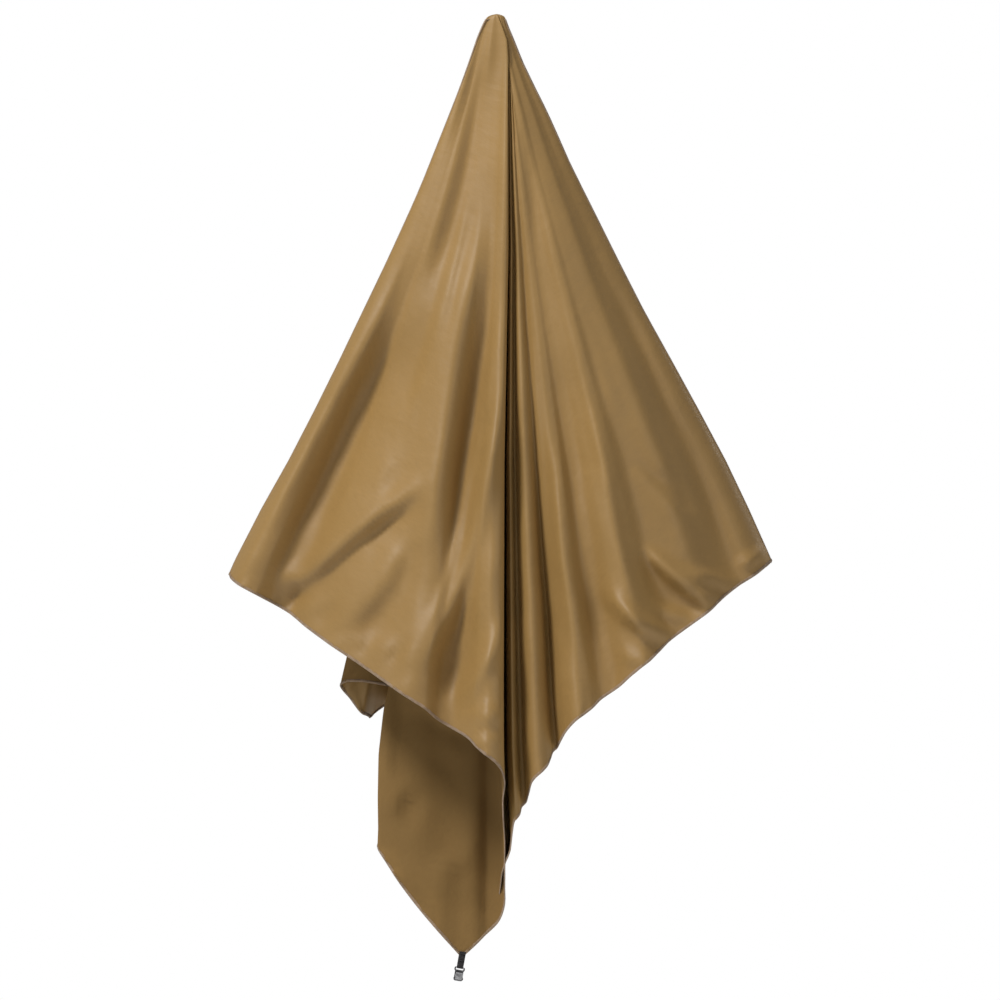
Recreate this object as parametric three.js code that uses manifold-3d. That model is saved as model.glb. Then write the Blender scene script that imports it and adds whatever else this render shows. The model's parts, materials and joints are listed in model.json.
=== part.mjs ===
// Field wrap: one rectangle of thin knit cloth with overlocked edges, hung from the middle of a long edge,
// with a tape loop and a small lever clip at one lower corner.
// Millimetres, +Z up. X runs across the front, -Y is the front. The origin is where the cloth hangs.
import * as THREE from "three";
import { mergeVertices } from "three/addons/utils/BufferGeometryUtils.js";
import Module from "manifold-3d";

// ---- driving sizes -------------------------------------------------------------------------------
const clothLength = 1875; // the long edges of the flat cloth
const clothWidth = 1070; // its short edges
const clothThickness = 2.0; // the solid that stands for the thin cloth
const taperLength = 600; // from the hanging point, the solid thins towards it over this length
const crownHeight = 110; // the bunched top, down from the hanging point
const crownDepth = 34; // the bunch's depth from front to back at its lower end
const crownHalfWidth = 53.5; // half its width there
const sheetStart = 66; // the sheet begins here, inside the crown
const threadSize = 2.0; // the overlocked bead along every edge
const beadGap = 0.6; // from the cloth's edge to the bead, wide enough to follow the folds
const seat = 0.3; // gap between pieces that touch
const legRoom = 0.9; // from the cloth to each leg of the tape, since the cloth curves between them
const tapeWidth = 9.6;
const tapeThickness = 0.8;
const tapeDrop = 15.5; // from the cloth's corner down to the clip
const tapeLap = 9; // how far both legs of the tape run up over the cloth
const tapeTilt = THREE.MathUtils.degToRad(8); // the loop leaves the corner a little askew
const stitchThickness = 0.5;
const tackLength = 7.0; // a bar tack, across the tape
const tackHeight = 1.8;
const tackThread = 0.8; // the two threads that join a tack's faces
const tackSpacing = 5; // between them
const clipWidth = 16;
const clipWaist = 13; // the clip's width below its shoulders
const clipLength = 21.3;
const plateThickness = 1.0;
const padStep = 0.3; // the pad on the plate's back stands proud by this
const padInset = 0.5; // and lies this far inside the plate's outline
const slotRoom = 0.9; // between each edge of the tape and the end of the clip's slot
const slotWidth = tapeWidth + 2 * slotRoom;
const slotHeight = 3.2;
const barHeight = 1.2; // the clip's top bar, which the tape goes round
const pinRise = 3.9; // the pin's height over the clip's lower end
const pinRadius = 0.8;
const runningGap = 0.3; // between the pin and what turns on it
const earThickness = 1.0;
const earHalfHeight = 2.7; // above and below the pin
const earReach = 1.9; // in front of the pin
const knuckleWall = 0.75; // of the lever, round the pin
const noseRadius = 2.3; // the lever's cam nose, from the pin's axis
const leverThickness = 0.9;
const leverLength = 9.4; // from the pin's axis to the thumb edge

// ---- helpers -------------------------------------------------------------------------------------
const wasm = await Module();
wasm.setup();

const solidOf = (geometry) => {
  const bare = geometry.index ? geometry.toNonIndexed() : geometry.clone();
  bare.deleteAttribute("normal");
  bare.deleteAttribute("uv");
  const merged = mergeVertices(bare, 1e-4);
  const corners = merged.index.array;
  const kept = [];
  for (let i = 0; i < corners.length; i += 3) {
    const [a, b, c] = corners.slice(i, i + 3);
    if (a !== b && b !== c && c !== a) kept.push(a, b, c);
  }
  return new wasm.Manifold(
    new wasm.Mesh({
      numProp: 3,
      vertProperties: merged.attributes.position.array,
      triVerts: new Uint32Array(kept),
    }),
  );
};

const geometryOf = (solid) => {
  const mesh = solid.getMesh();
  const geometry = new THREE.BufferGeometry();
  geometry.setAttribute("position", new THREE.BufferAttribute(mesh.vertProperties, 3));
  geometry.setIndex(new THREE.BufferAttribute(mesh.triVerts, 1));
  return geometry;
};

const union = (solids) => solids.reduce((a, b) => a.add(b));
const without = (solid, cutters) => cutters.reduce((a, b) => a.subtract(b), solid);

const group = new THREE.Group();
const add = (name, geometry, [color, roughness, metalness], place = group) => {
  const material = new THREE.MeshStandardMaterial({ color, roughness, metalness });
  const mesh = new THREE.Mesh(geometry, material);
  mesh.name = name;
  place.add(mesh);
  return mesh;
};

const cloth = [0x97783f, 0.62, 0];
const thread = [0xa58c73, 0.85, 0];
const tape = [0x1a191a, 0.9, 0];
const darkSteel = [0x4a4a4c, 0.42, 1];
const paleSteel = [0x86868a, 0.35, 1];

// A closed body from rings of points: every ring has as many points, and the two end rings are capped.
const ringBody = (rings) => {
  const count = rings[0].length;
  const position = rings.flat().flatMap((p) => [p.x, p.y, p.z]);
  const index = [];
  const at = (ring, point) => ring * count + (point % count);
  for (let ring = 0; ring + 1 < rings.length; ring += 1) {
    for (let point = 0; point < count; point += 1) {
      const [a, b] = [at(ring, point), at(ring, point + 1)];
      const [c, d] = [at(ring + 1, point + 1), at(ring + 1, point)];
      index.push(a, b, c, a, c, d);
    }
  }
  for (let point = 1; point + 1 < count; point += 1) {
    index.push(at(0, 0), at(0, point + 1), at(0, point));
    const last = rings.length - 1;
    index.push(at(last, 0), at(last, point), at(last, point + 1));
  }
  const geometry = new THREE.BufferGeometry();
  geometry.setAttribute("position", new THREE.Float32BufferAttribute(position, 3));
  geometry.setIndex(index);
  const solid = solidOf(geometry);
  if (solid.volume() > 0) return solid;
  for (let i = 0; i < index.length; i += 3) [index[i + 1], index[i + 2]] = [index[i + 2], index[i + 1]];
  geometry.setIndex(index);
  return solidOf(geometry);
};

// ---- how the cloth folds -------------------------------------------------------------------------
// A cloth hung from one point is a cone: every straight line from that point on the flat cloth stays
// straight. The fold line is the cone's level section one unit below the point, as across (x) and back (y).
// The pleats' depth is a factor that is solved so that the section takes in the whole half turn of cloth
// round a point in the middle of a straight edge.
const pleatLine = 0.165; // where the rear pleats' depth is measured from
const foldLine = (depth) => {
  const rear = (y) => pleatLine + depth * (y - pleatLine);
  return [
    // the left panel, from its free edge to the centre fold
    [-0.4786, 0.118], [-0.466, 0.076], [-0.437, 0.06], [-0.405, 0.074], [-0.37, 0.05],
    [-0.325, -0.012], [-0.288, -0.036], [-0.25, -0.02], [-0.207, -0.058], [-0.165, -0.096],
    [-0.13, -0.087], [-0.095, -0.052], [-0.064, -0.062], [-0.03, -0.104], [0.002, -0.13],
    // the centre fold, and the cloth that runs straight back behind it
    [0.0135, -0.119], [0.0105, -0.103], [0.0065, -0.082], [0.0095, -0.058], [0.0105, -0.032],
    [0.0095, -0.006], [0.0088, 0.02], [0.008, 0.042], [0.0005, 0.0585], [-0.0105, 0.0645],
    // the piece that ends in the tape's corner, with its other side to the front
    [-0.0225, 0.0605], [-0.035, 0.0585], [-0.0475, 0.0575], [-0.066, 0.0575], [-0.1, 0.064],
    [-0.132, 0.074], [-0.15, 0.09], [-0.142, 0.102], [-0.118, 0.094], [-0.085, 0.078],
    [-0.068, 0.073], [-0.058, 0.079], [-0.064, 0.088], [-0.085, 0.096], [-0.115, 0.108],
    // the loose fold at the left
    [-0.15, 0.116], [-0.2, 0.1], [-0.226, 0.101], [-0.235, 0.112], [-0.222, 0.125],
    // the rear pleats
    [-0.194, rear(0.13)], [-0.176, rear(0.18)], [-0.152, rear(0.21)], [-0.13, rear(0.19)],
    [-0.118, rear(0.155)], [-0.094, rear(0.148)], [-0.078, rear(0.19)], [-0.052, rear(0.215)],
    [-0.03, rear(0.19)], [-0.016, rear(0.162)], [0.008, rear(0.162)], [0.024, rear(0.195)],
    [0.044, rear(0.198)],
    // doubled cloth inside, with the other lower corner
    [0.05, 0.168], [0.034, 0.144], [-0.005, 0.136], [-0.05, 0.132], [-0.085, 0.136],
    [-0.106, 0.125], [-0.09, 0.113], [-0.05, 0.117], [-0.016, 0.12], [-0.004, 0.11],
    [-0.018, 0.1], [-0.036, 0.097], [-0.047, 0.089], [-0.0455, 0.079], [-0.034, 0.0745],
    [-0.018, 0.0745], [-0.003, 0.0745], [0.009, 0.0705], [0.0165, 0.059], [0.0185, 0.04],
    // the narrow pleats beside the centre fold
    [0.0185, 0.018], [0.0175, -0.005], [0.0205, -0.024], [0.0262, -0.0295], [0.0318, -0.0205],
    [0.0372, -0.0155], [0.0415, -0.028], [0.045, -0.046], [0.0515, -0.053], [0.058, -0.038],
    [0.0625, -0.014], [0.07, -0.002], [0.077, -0.016], [0.084, -0.048],
    // the right panel, out to its free edge
    [0.095, -0.08], [0.115, -0.088], [0.145, -0.07], [0.18, -0.068], [0.225, -0.08],
    [0.27, -0.036], [0.32, -0.02], [0.36, 0.016], [0.395, 0.056], [0.43, 0.06],
    [0.465, 0.094], [0.492, 0.14], [0.5096, 0.18],
  ];
};

const raysPerStep = 12; // fine steps between two points of the fold line, to measure it by
const coneRays = (depth) => {
  const points = foldLine(depth).map(([x, y]) => new THREE.Vector3(x, y, -1).normalize());
  const curve = new THREE.CatmullRomCurve3(points);
  return curve.getPoints((points.length - 1) * raysPerStep).map((p) => p.normalize());
};
const anglesAlong = (rays) => {
  const angles = [0];
  for (let i = 1; i < rays.length; i += 1) angles.push(angles[i - 1] + rays[i].angleTo(rays[i - 1]));
  return angles;
};
const pleatDepth = (() => {
  let [low, high] = [0.2, 3];
  for (let i = 0; i < 40; i += 1) {
    const middle = (low + high) / 2;
    if (anglesAlong(coneRays(middle)).at(-1) < Math.PI) low = middle;
    else high = middle;
  }
  return (low + high) / 2;
})();
const rays = coneRays(pleatDepth);
const angles = anglesAlong(rays);

// The ray at an angle along the cloth from its left free edge, with the directions along and off the cloth.
const rayAt = (angle) => {
  let i = angles.findIndex((a) => a >= angle - 1e-9);
  i = Math.min(Math.max(i, 1), angles.length - 1);
  const share = (angle - angles[i - 1]) / (angles[i] - angles[i - 1]);
  const down = rays[i - 1].clone().lerp(rays[i], share).normalize();
  const near = share < 0.5 ? i - 1 : i;
  const along = rays[Math.min(near + 1, rays.length - 1)].clone().sub(rays[Math.max(near - 1, 0)]);
  along.addScaledVector(down, -along.dot(down)).normalize();
  const off = down.clone().cross(along).normalize();
  return { angle, down, along, off };
};

const halfLength = clothLength / 2;
const cornerAngle = Math.atan2(clothWidth, halfLength);
const cornerReach = Math.hypot(halfLength, clothWidth);
const reachAt = (angle) => {
  if (angle <= cornerAngle) return halfLength / Math.cos(angle);
  if (angle >= Math.PI - cornerAngle) return halfLength / -Math.cos(angle);
  return clothWidth / Math.sin(angle);
};

// Three columns of the solid stand between two points of the fold line. The nearest column is moved to
// each lower corner.
const columnStep = raysPerStep / 3;
const columns = angles.filter((_, i) => i % columnStep === 0);
columns[columns.length - 1] = Math.PI;
for (const corner of [cornerAngle, Math.PI - cornerAngle]) {
  const misses = columns.map((angle) => Math.abs(angle - corner));
  columns[misses.indexOf(Math.min(...misses))] = corner;
}
const columnRays = columns.map(rayAt);
const thicknessAt = (reach) => clothThickness * Math.min(1, reach / taperLength);

// ---- cloth panel ---------------------------------------------------------------------------------
const foldedSheet = () => {
  const position = [];
  const index = [];
  const rows = [sheetStart, taperLength, Infinity];
  const sides = [-1, 1];
  const at = (side, row, column) => (side * rows.length + row) * columnRays.length + column;
  for (const side of sides) {
    for (const row of rows) {
      for (const { angle, down, off } of columnRays) {
        const reach = Math.min(row, reachAt(angle));
        const p = down.clone().multiplyScalar(reach);
        p.addScaledVector(off, (side * thicknessAt(reach)) / 2);
        position.push(p.x, p.y, p.z);
      }
    }
  }
  const quad = (...corners) => {
    const [a, b, c, d] = corners.map((corner) => at(...corner));
    index.push(a, b, c, a, c, d);
  };
  const [end, edge] = [rows.length - 1, columnRays.length - 1];
  for (let column = 0; column < edge; column += 1) {
    const next = column + 1;
    for (let row = 0; row < end; row += 1) {
      quad([0, row, column], [0, row, next], [0, row + 1, next], [0, row + 1, column]);
      quad([1, row, column], [1, row + 1, column], [1, row + 1, next], [1, row, next]);
    }
    quad([0, 0, column], [1, 0, column], [1, 0, next], [0, 0, next]);
    quad([0, end, column], [0, end, next], [1, end, next], [1, end, column]);
  }
  for (let row = 0; row < end; row += 1) {
    quad([0, row, 0], [0, row + 1, 0], [1, row + 1, 0], [1, row, 0]);
    quad([0, row, edge], [1, row, edge], [1, row + 1, edge], [0, row + 1, edge]);
  }
  const geometry = new THREE.BufferGeometry();
  geometry.setAttribute("position", new THREE.Float32BufferAttribute(position, 3));
  geometry.setIndex(index);
  return solidOf(geometry);
};

// The bunched cloth over the hanging point is a rounded crown. Each row is a share of its height, and the
// shares of its full width and depth there.
const crownShape = [
  [0.01, 0.12, 0.1], [0.04, 0.22, 0.3], [0.08, 0.29, 0.45], [0.16, 0.35, 0.62],
  [0.33, 0.49, 0.74], [0.5, 0.62, 0.84], [0.63, 0.71, 0.9], [1, 1, 1],
];
const crown = () => {
  const around = 24;
  const rings = crownShape.map(([share, wide, deep]) =>
    Array.from({ length: around }, (_, i) => {
      const turn = (2 * Math.PI * i) / around;
      const x = Math.cos(turn) * wide * crownHalfWidth;
      const y = (Math.sin(turn) * deep * crownDepth) / 2;
      return new THREE.Vector3(x, y, -share * crownHeight);
    }),
  );
  return ringBody(rings);
};

// ---- overlocked edges ----------------------------------------------------------------------------
// A bead beside each edge, just clear of the cloth. The direction out of each edge is a mix of the
// directions down and along the cloth.
const edgeBead = (from, to, outward) => {
  const away = beadGap + threadSize / 2;
  const half = threadSize / 2;
  const rings = columnRays
    .filter(({ angle }) => angle >= from - 1e-9 && angle <= to + 1e-9)
    .map(({ angle, down, along, off }) => {
      const [downShare, alongShare] = outward(angle);
      const out = down.clone().multiplyScalar(downShare).addScaledVector(along, alongShare).normalize();
      const centre = down.clone().multiplyScalar(reachAt(angle)).addScaledVector(out, away);
      return [[-1, -1], [1, -1], [1, 1], [-1, 1]].map(([a, b]) =>
        centre.clone().addScaledVector(out, a * half).addScaledVector(off, b * half),
      );
    });
  return ringBody(rings);
};
const leftBead = edgeBead(0, cornerAngle, (a) => [Math.cos(a), -Math.sin(a)]);
const bottomBead = edgeBead(cornerAngle, Math.PI - cornerAngle, (a) => [Math.sin(a), Math.cos(a)]);
const rightBead = edgeBead(Math.PI - cornerAngle, Math.PI, (a) => [-Math.cos(a), Math.sin(a)]);

// The top edge's bead runs from one free corner up over the crown and down to the other.
const topEdgeLean = 0.06; // over the crown it lies this much behind the middle, for each unit down
const crownClear = crownHeight * 1.25; // below here it lies along the cloth's free edges
const topBeadPath = () => {
  const beside = (ray, side, reach) =>
    ray.down.clone().multiplyScalar(reach).addScaledVector(ray.along, side * (seat + threadSize / 2));
  const [left, right] = [columnRays[0], columnRays.at(-1)];
  const overCrown = (side) =>
    [crownShape[5], crownShape[3], crownShape[1]].map(([share, wide]) => {
      const x = side * (wide * crownHalfWidth + seat + threadSize / 2);
      return new THREE.Vector3(x, topEdgeLean * share * crownHeight, -share * crownHeight);
    });
  const shares = [1, 0.75, 0.5, 0.25];
  return [
    ...shares.map((share) => beside(left, -1, halfLength * share)),
    beside(left, -1, crownClear),
    ...overCrown(-1),
    new THREE.Vector3(0, 0, threadSize / 2),
    ...overCrown(1).reverse(),
    beside(right, 1, crownClear),
    ...shares.toReversed().map((share) => beside(right, 1, halfLength * share)),
  ];
};
const tube = (points, radius, sides, steps) => {
  const section = new THREE.Shape(
    Array.from({ length: sides }, (_, i) => {
      const turn = (2 * Math.PI * (i + 0.5)) / sides;
      return new THREE.Vector2(Math.cos(turn) * radius, Math.sin(turn) * radius);
    }),
  );
  const extrudePath = new THREE.CatmullRomCurve3(points);
  return solidOf(new THREE.ExtrudeGeometry(section, { extrudePath, steps, bevelEnabled: false }));
};
const topSteps = 64;
const topBead = tube(topBeadPath(), threadSize / 2, 8, topSteps);
const topChannel = tube(topBeadPath(), threadSize / 2 + seat, 8, topSteps);

// ---- the tape's corner ---------------------------------------------------------------------------
// The clip hangs in a frame of its own: x across, y off the cloth, z up, its origin on the clip's top bar.
const cornerRay = rayAt(cornerAngle);
const hangTurn = new THREE.Matrix4().makeBasis(
  cornerRay.along.clone().negate(),
  cornerRay.off,
  cornerRay.down.clone().negate(),
);
const hangFrame = new THREE.Matrix4()
  .makeTranslation(cornerRay.down.clone().multiplyScalar(cornerReach))
  .multiply(hangTurn)
  .multiply(new THREE.Matrix4().makeRotationY(tapeTilt))
  .multiply(new THREE.Matrix4().makeTranslation(0, 0, -tapeDrop));
const hang = new THREE.Group();
hangFrame.decompose(hang.position, hang.quaternion, hang.scale);
group.add(hang);

// A flat outline in y and z, extruded evenly to both sides along x.
const acrossX = (shape, width) => {
  const geometry = new THREE.ExtrudeGeometry(shape, { depth: width, bevelEnabled: false });
  geometry.translate(0, 0, -width / 2);
  const [x, y, z] = [new THREE.Vector3(1, 0, 0), new THREE.Vector3(0, 1, 0), new THREE.Vector3(0, 0, 1)];
  return geometry.applyMatrix4(new THREE.Matrix4().makeBasis(y, z, x));
};
// A flat outline in x and z, extruded along y from a front face.
const alongY = (shape, front, thickness) => {
  const geometry = new THREE.ExtrudeGeometry(shape, { depth: thickness, bevelEnabled: false });
  geometry.rotateX(Math.PI / 2);
  geometry.translate(0, front + thickness, 0);
  return geometry;
};
// Points along an arc, with both ends.
const arc = (x, y, radius, from, to, steps = 8) =>
  Array.from({ length: steps + 1 }, (_, i) => {
    const turn = from + ((to - from) * i) / steps;
    return [x + radius * Math.cos(turn), y + radius * Math.sin(turn)];
  });
// An outline through corners [x, y, radius], each rounded by its radius.
const rounded = (corners) =>
  corners.flatMap(([x, y, radius = 0], i) => {
    if (!radius) return [[x, y]];
    const at = new THREE.Vector2(x, y);
    const towards = (k) => {
      const [u, v] = corners[(k + corners.length) % corners.length];
      return new THREE.Vector2(u, v).sub(at).normalize();
    };
    const [before, after] = [towards(i - 1), towards(i + 1)];
    const half = Math.acos(before.dot(after)) / 2;
    const middle = before.clone().add(after).normalize();
    const centre = at.clone().addScaledVector(middle, radius / Math.sin(half));
    const start = before.clone().multiplyScalar(radius / Math.tan(half)).add(at).sub(centre);
    const end = after.clone().multiplyScalar(radius / Math.tan(half)).add(at).sub(centre);
    const sweep = Math.atan2(start.cross(end), start.dot(end));
    return arc(centre.x, centre.y, radius, start.angle(), start.angle() + sweep, 6);
  });
const shapeOf = (points) => new THREE.Shape(points.map(([x, y]) => new THREE.Vector2(x, y)));
const roundHole = (x, y, radius, sides = 20) => {
  const points = arc(x, y, radius, 0, 2 * Math.PI, sides).slice(0, sides);
  return new THREE.Path(points.map(([u, v]) => new THREE.Vector2(u, v)));
};

const block = (wide, deep, high, x, y, z) =>
  solidOf(new THREE.BoxGeometry(wide, deep, high).translate(x, y, z));

// The tape is folded round the clip's bar. Its legs stand apart at the bar by the loop's inner radius, and
// over the cloth by half the cloth and the room for its curve.
const loopRadius = Math.hypot(barHeight, plateThickness) / 2 + seat;
const legGap = clothThickness / 2 + legRoom;
const legTop = tapeDrop + tapeLap;
const legSpread = 8.5; // where the legs have reached their spacing over the cloth
const tapeSide = (() => {
  const [inner, outer] = [loopRadius, loopRadius + tapeThickness];
  const half = legGap + tapeThickness;
  return shapeOf([
    [-half, legTop],
    [-half, legSpread],
    ...arc(0, 0, outer, Math.PI, 2 * Math.PI, 12),
    [half, legSpread],
    [half, legTop],
    [legGap, legTop],
    [legGap, legSpread],
    ...arc(0, 0, inner, 2 * Math.PI, Math.PI, 12),
    [-legGap, legSpread],
    [-legGap, legTop],
  ]);
})();

// A bar tack: a bar of stitches on either face of the tape, joined by two threads that go through it.
const tack = (height, halfDepth, grow) => {
  const face = (side) => {
    const away = side * (halfDepth + seat + stitchThickness / 2);
    return block(tackLength, stitchThickness, tackHeight, 0, away, height);
  };
  const through = (side) => {
    const size = tackThread + 2 * grow;
    const depth = 2 * (halfDepth + seat) + stitchThickness;
    return block(size, depth, size, (side * tackSpacing) / 2, 0, height);
  };
  const threads = [through(-1), through(1)];
  return grow > 0 ? threads : [union([face(-1), face(1), ...threads])];
};
const cornerTackHeight = tapeDrop + 5.4;
const loopTackHeight = tapeDrop - 5;
const outerFace = legGap + tapeThickness;
const cornerTack = tack(cornerTackHeight, outerFace, 0)[0];
const loopTack = tack(loopTackHeight, outerFace, 0)[0];
const cornerHoles = tack(cornerTackHeight, outerFace, seat);
const loopHoles = tack(loopTackHeight, outerFace, seat);
const tapeLoop = without(solidOf(acrossX(tapeSide, tapeWidth)), [...cornerHoles, ...loopHoles]);

const clothHoles = cornerHoles.map((hole) => hole.transform(hangFrame.elements));
const panel = without(union([foldedSheet(), crown()]), [topChannel, ...clothHoles]);

add("cloth_panel", geometryOf(panel), cloth);
add("overlock_top", geometryOf(topBead), thread);
add("overlock_left", geometryOf(leftBead), thread);
add("overlock_right", geometryOf(rightBead), thread);
add("overlock_bottom", geometryOf(bottomBead), thread);
add("webbing_loop", geometryOf(tapeLoop), tape, hang);
add("corner_bartack", geometryOf(cornerTack), tape, hang);
add("loop_bartack", geometryOf(loopTack), tape, hang);

// ---- clip ----------------------------------------------------------------------------------------
// Heights run down from the bar's middle. The base plate's front face is half a plate in front of the bar.
const plateTop = barHeight / 2;
const plateEnd = plateTop - clipLength;
const plateFront = -plateThickness / 2;
const shoulder = plateTop - barHeight - slotHeight; // the slot's lower edge
const pinDrop = plateEnd + pinRise;
const pinFront = plateFront - noseRadius - seat;
const earInner = clipWaist / 2 - earThickness;

const plateOutline = (() => {
  const [top, waist, round] = [clipWidth / 2, clipWaist / 2, 2.4];
  const taperEnd = shoulder - 2.4;
  const right = [[top, plateTop, round], [top, shoulder, 1], [waist, taperEnd, 1], [waist, plateEnd, round]];
  const left = right.toReversed().map(([x, z, r]) => [-x, z, r]);
  return shapeOf(rounded([...right, ...left]));
})();
const slot = block(slotWidth, plateThickness * 3, slotHeight, 0, 0, shoulder + slotHeight / 2);
const earOutline = (() => {
  const [reach, high, round] = [-pinFront + earReach, earHalfHeight, 1.6];
  const shape = shapeOf(rounded([
    [0, pinDrop + high],
    [-reach, pinDrop + high, round],
    [-reach, pinDrop - high, round],
    [0, pinDrop - high],
  ]));
  shape.holes.push(roundHole(pinFront, pinDrop, pinRadius + runningGap));
  return shape;
})();
const ear = (side) => {
  const geometry = acrossX(earOutline, earThickness);
  return solidOf(geometry.translate(side * (earInner + earThickness / 2), 0, 0));
};
const clipPlate = solidOf(alongY(plateOutline, plateFront, plateThickness));
// Below the slot the plate's back is stepped out to a flat pad.
const backPad = (() => {
  const [half, low, high] = [clipWaist / 2 - padInset, plateEnd + padInset, shoulder - padInset];
  const outline = rounded([[half, high, 1], [half, low, 2], [-half, low, 2], [-half, high, 1]]);
  return solidOf(alongY(shapeOf(outline), plateThickness / 2 - 0.1, padStep + 0.1));
})();
// Two grip ribs are stamped into the plate, one above the nose and one below.
const ribSize = 0.5;
const gripRib = (z) => block(2 * earInner - 3, ribSize, ribSize, 0, plateFront, z);
const ribs = [-1, 1].map((side) => gripRib(pinDrop + side * (noseRadius + ribSize)));
const clipBody = union([without(clipPlate, [slot]), backPad, ear(-1), ear(1), ...ribs]);
add("clip_body", geometryOf(clipBody), darkSteel, hang);

// The lever, seen from the side: a knuckle round the pin, its cam nose against the plate, and the thumb
// plate up the clip's front.
const knuckleRadius = pinRadius + runningGap + knuckleWall;
const leverFront = pinFront - knuckleRadius;
const leverWidth = 2 * (earInner - seat);
const leverSide = (() => {
  const [nose, blend] = [Math.PI / 5, Math.PI / 3.4];
  const back = leverFront + leverThickness;
  const thumb = pinDrop + leverLength;
  const shape = shapeOf([
    ...arc(pinFront, pinDrop, knuckleRadius, Math.PI, 2 * Math.PI - blend),
    ...arc(pinFront, pinDrop, noseRadius, -nose, nose, 6),
    ...arc(pinFront, pinDrop, knuckleRadius, blend, Math.PI * 0.6),
    [back, pinDrop + knuckleRadius * 1.35],
    [back, thumb - 2],
    [back - 0.7, thumb],
    [leverFront - 0.7, thumb],
    [leverFront, thumb - 2],
  ]);
  shape.holes.push(roundHole(pinFront, pinDrop, pinRadius + runningGap));
  return shape;
})();
// Above the ears the thumb plate is as wide as the clip's waist.
const thumbPlate = (() => {
  const half = clipWaist / 2 - seat;
  const [low, high] = [pinDrop + earHalfHeight + seat, pinDrop + leverLength - 2];
  const outline = rounded([[half, low], [half, high, 1.6], [-half, high, 1.6], [-half, low]]);
  return solidOf(alongY(shapeOf(outline), leverFront, leverThickness));
})();
const boss = (() => {
  const outline = [[0, 0], [1.7, 0], [1.5, 0.35], [0.8, 0.6], [0, 0.7]];
  const profile = outline.map(([r, z]) => new THREE.Vector2(r, z));
  const geometry = new THREE.LatheGeometry(profile, 20);
  geometry.rotateX(-Math.PI / 2);
  geometry.rotateZ(Math.PI);
  return geometry;
})();
const bossPlaced = solidOf(boss.translate(0, leverFront + 0.1, pinDrop + leverLength * 0.42));
const leverBody = union([solidOf(acrossX(leverSide, leverWidth)), thumbPlate, bossPlaced]);
add("clip_lever", geometryOf(leverBody), paleSteel, hang);

// The pin, with a rounded head outside each ear.
const pinProfile = (() => {
  const shank = earInner + earThickness + seat;
  const [head, headLength] = [pinRadius * 1.7, 0.5];
  const half = [[0, shank + headLength], [head * 0.7, shank + headLength], [head, shank + headLength * 0.4],
    [head, shank], [pinRadius, shank]];
  const mirrored = half.toReversed().map(([r, x]) => [r, -x]);
  return [...half, ...mirrored].map(([r, x]) => new THREE.Vector2(r, x)).toReversed();
})();
const pin = new THREE.LatheGeometry(pinProfile, 20);
pin.rotateZ(-Math.PI / 2);
pin.translate(0, pinFront, pinDrop);
add("clip_pin", geometryOf(solidOf(pin)), darkSteel, hang);

export default group;
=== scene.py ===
"""Field wrap: thin knit cloth hung from one point, with overlocked edges, a tape loop and a lever clip.

Metres, +Z up, the front towards -Y. The origin is the hanging point.
"""

import json
import math

import bmesh
import bpy
import numpy as np
from mathutils import Matrix, Vector

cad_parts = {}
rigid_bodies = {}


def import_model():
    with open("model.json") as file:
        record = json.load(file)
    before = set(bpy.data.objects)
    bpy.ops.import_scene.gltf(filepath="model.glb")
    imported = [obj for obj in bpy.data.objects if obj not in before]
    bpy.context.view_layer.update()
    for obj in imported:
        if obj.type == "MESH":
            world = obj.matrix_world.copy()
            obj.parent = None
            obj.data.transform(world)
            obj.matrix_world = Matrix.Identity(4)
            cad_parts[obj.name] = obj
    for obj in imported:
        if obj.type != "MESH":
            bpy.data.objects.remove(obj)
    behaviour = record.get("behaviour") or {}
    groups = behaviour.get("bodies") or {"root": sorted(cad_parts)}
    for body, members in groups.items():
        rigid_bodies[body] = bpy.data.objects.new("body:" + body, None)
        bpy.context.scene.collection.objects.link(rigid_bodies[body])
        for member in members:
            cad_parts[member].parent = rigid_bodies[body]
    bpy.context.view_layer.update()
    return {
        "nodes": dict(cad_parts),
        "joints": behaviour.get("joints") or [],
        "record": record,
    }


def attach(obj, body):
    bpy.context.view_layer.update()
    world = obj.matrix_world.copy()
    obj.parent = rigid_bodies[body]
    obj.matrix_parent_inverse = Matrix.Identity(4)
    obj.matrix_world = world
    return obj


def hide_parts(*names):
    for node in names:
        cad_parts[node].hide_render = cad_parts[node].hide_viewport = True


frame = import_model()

bl_info = {
    "name": "Field wrap",
    "version": (1, 0, 0),
    "blender": (4, 5, 0),
    "location": "3D View > Sidebar > Field wrap",
    "description": "Builds a hung field wrap with its overlocked edges, tape loop and clip",
    "category": "Add Mesh",
}

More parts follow.
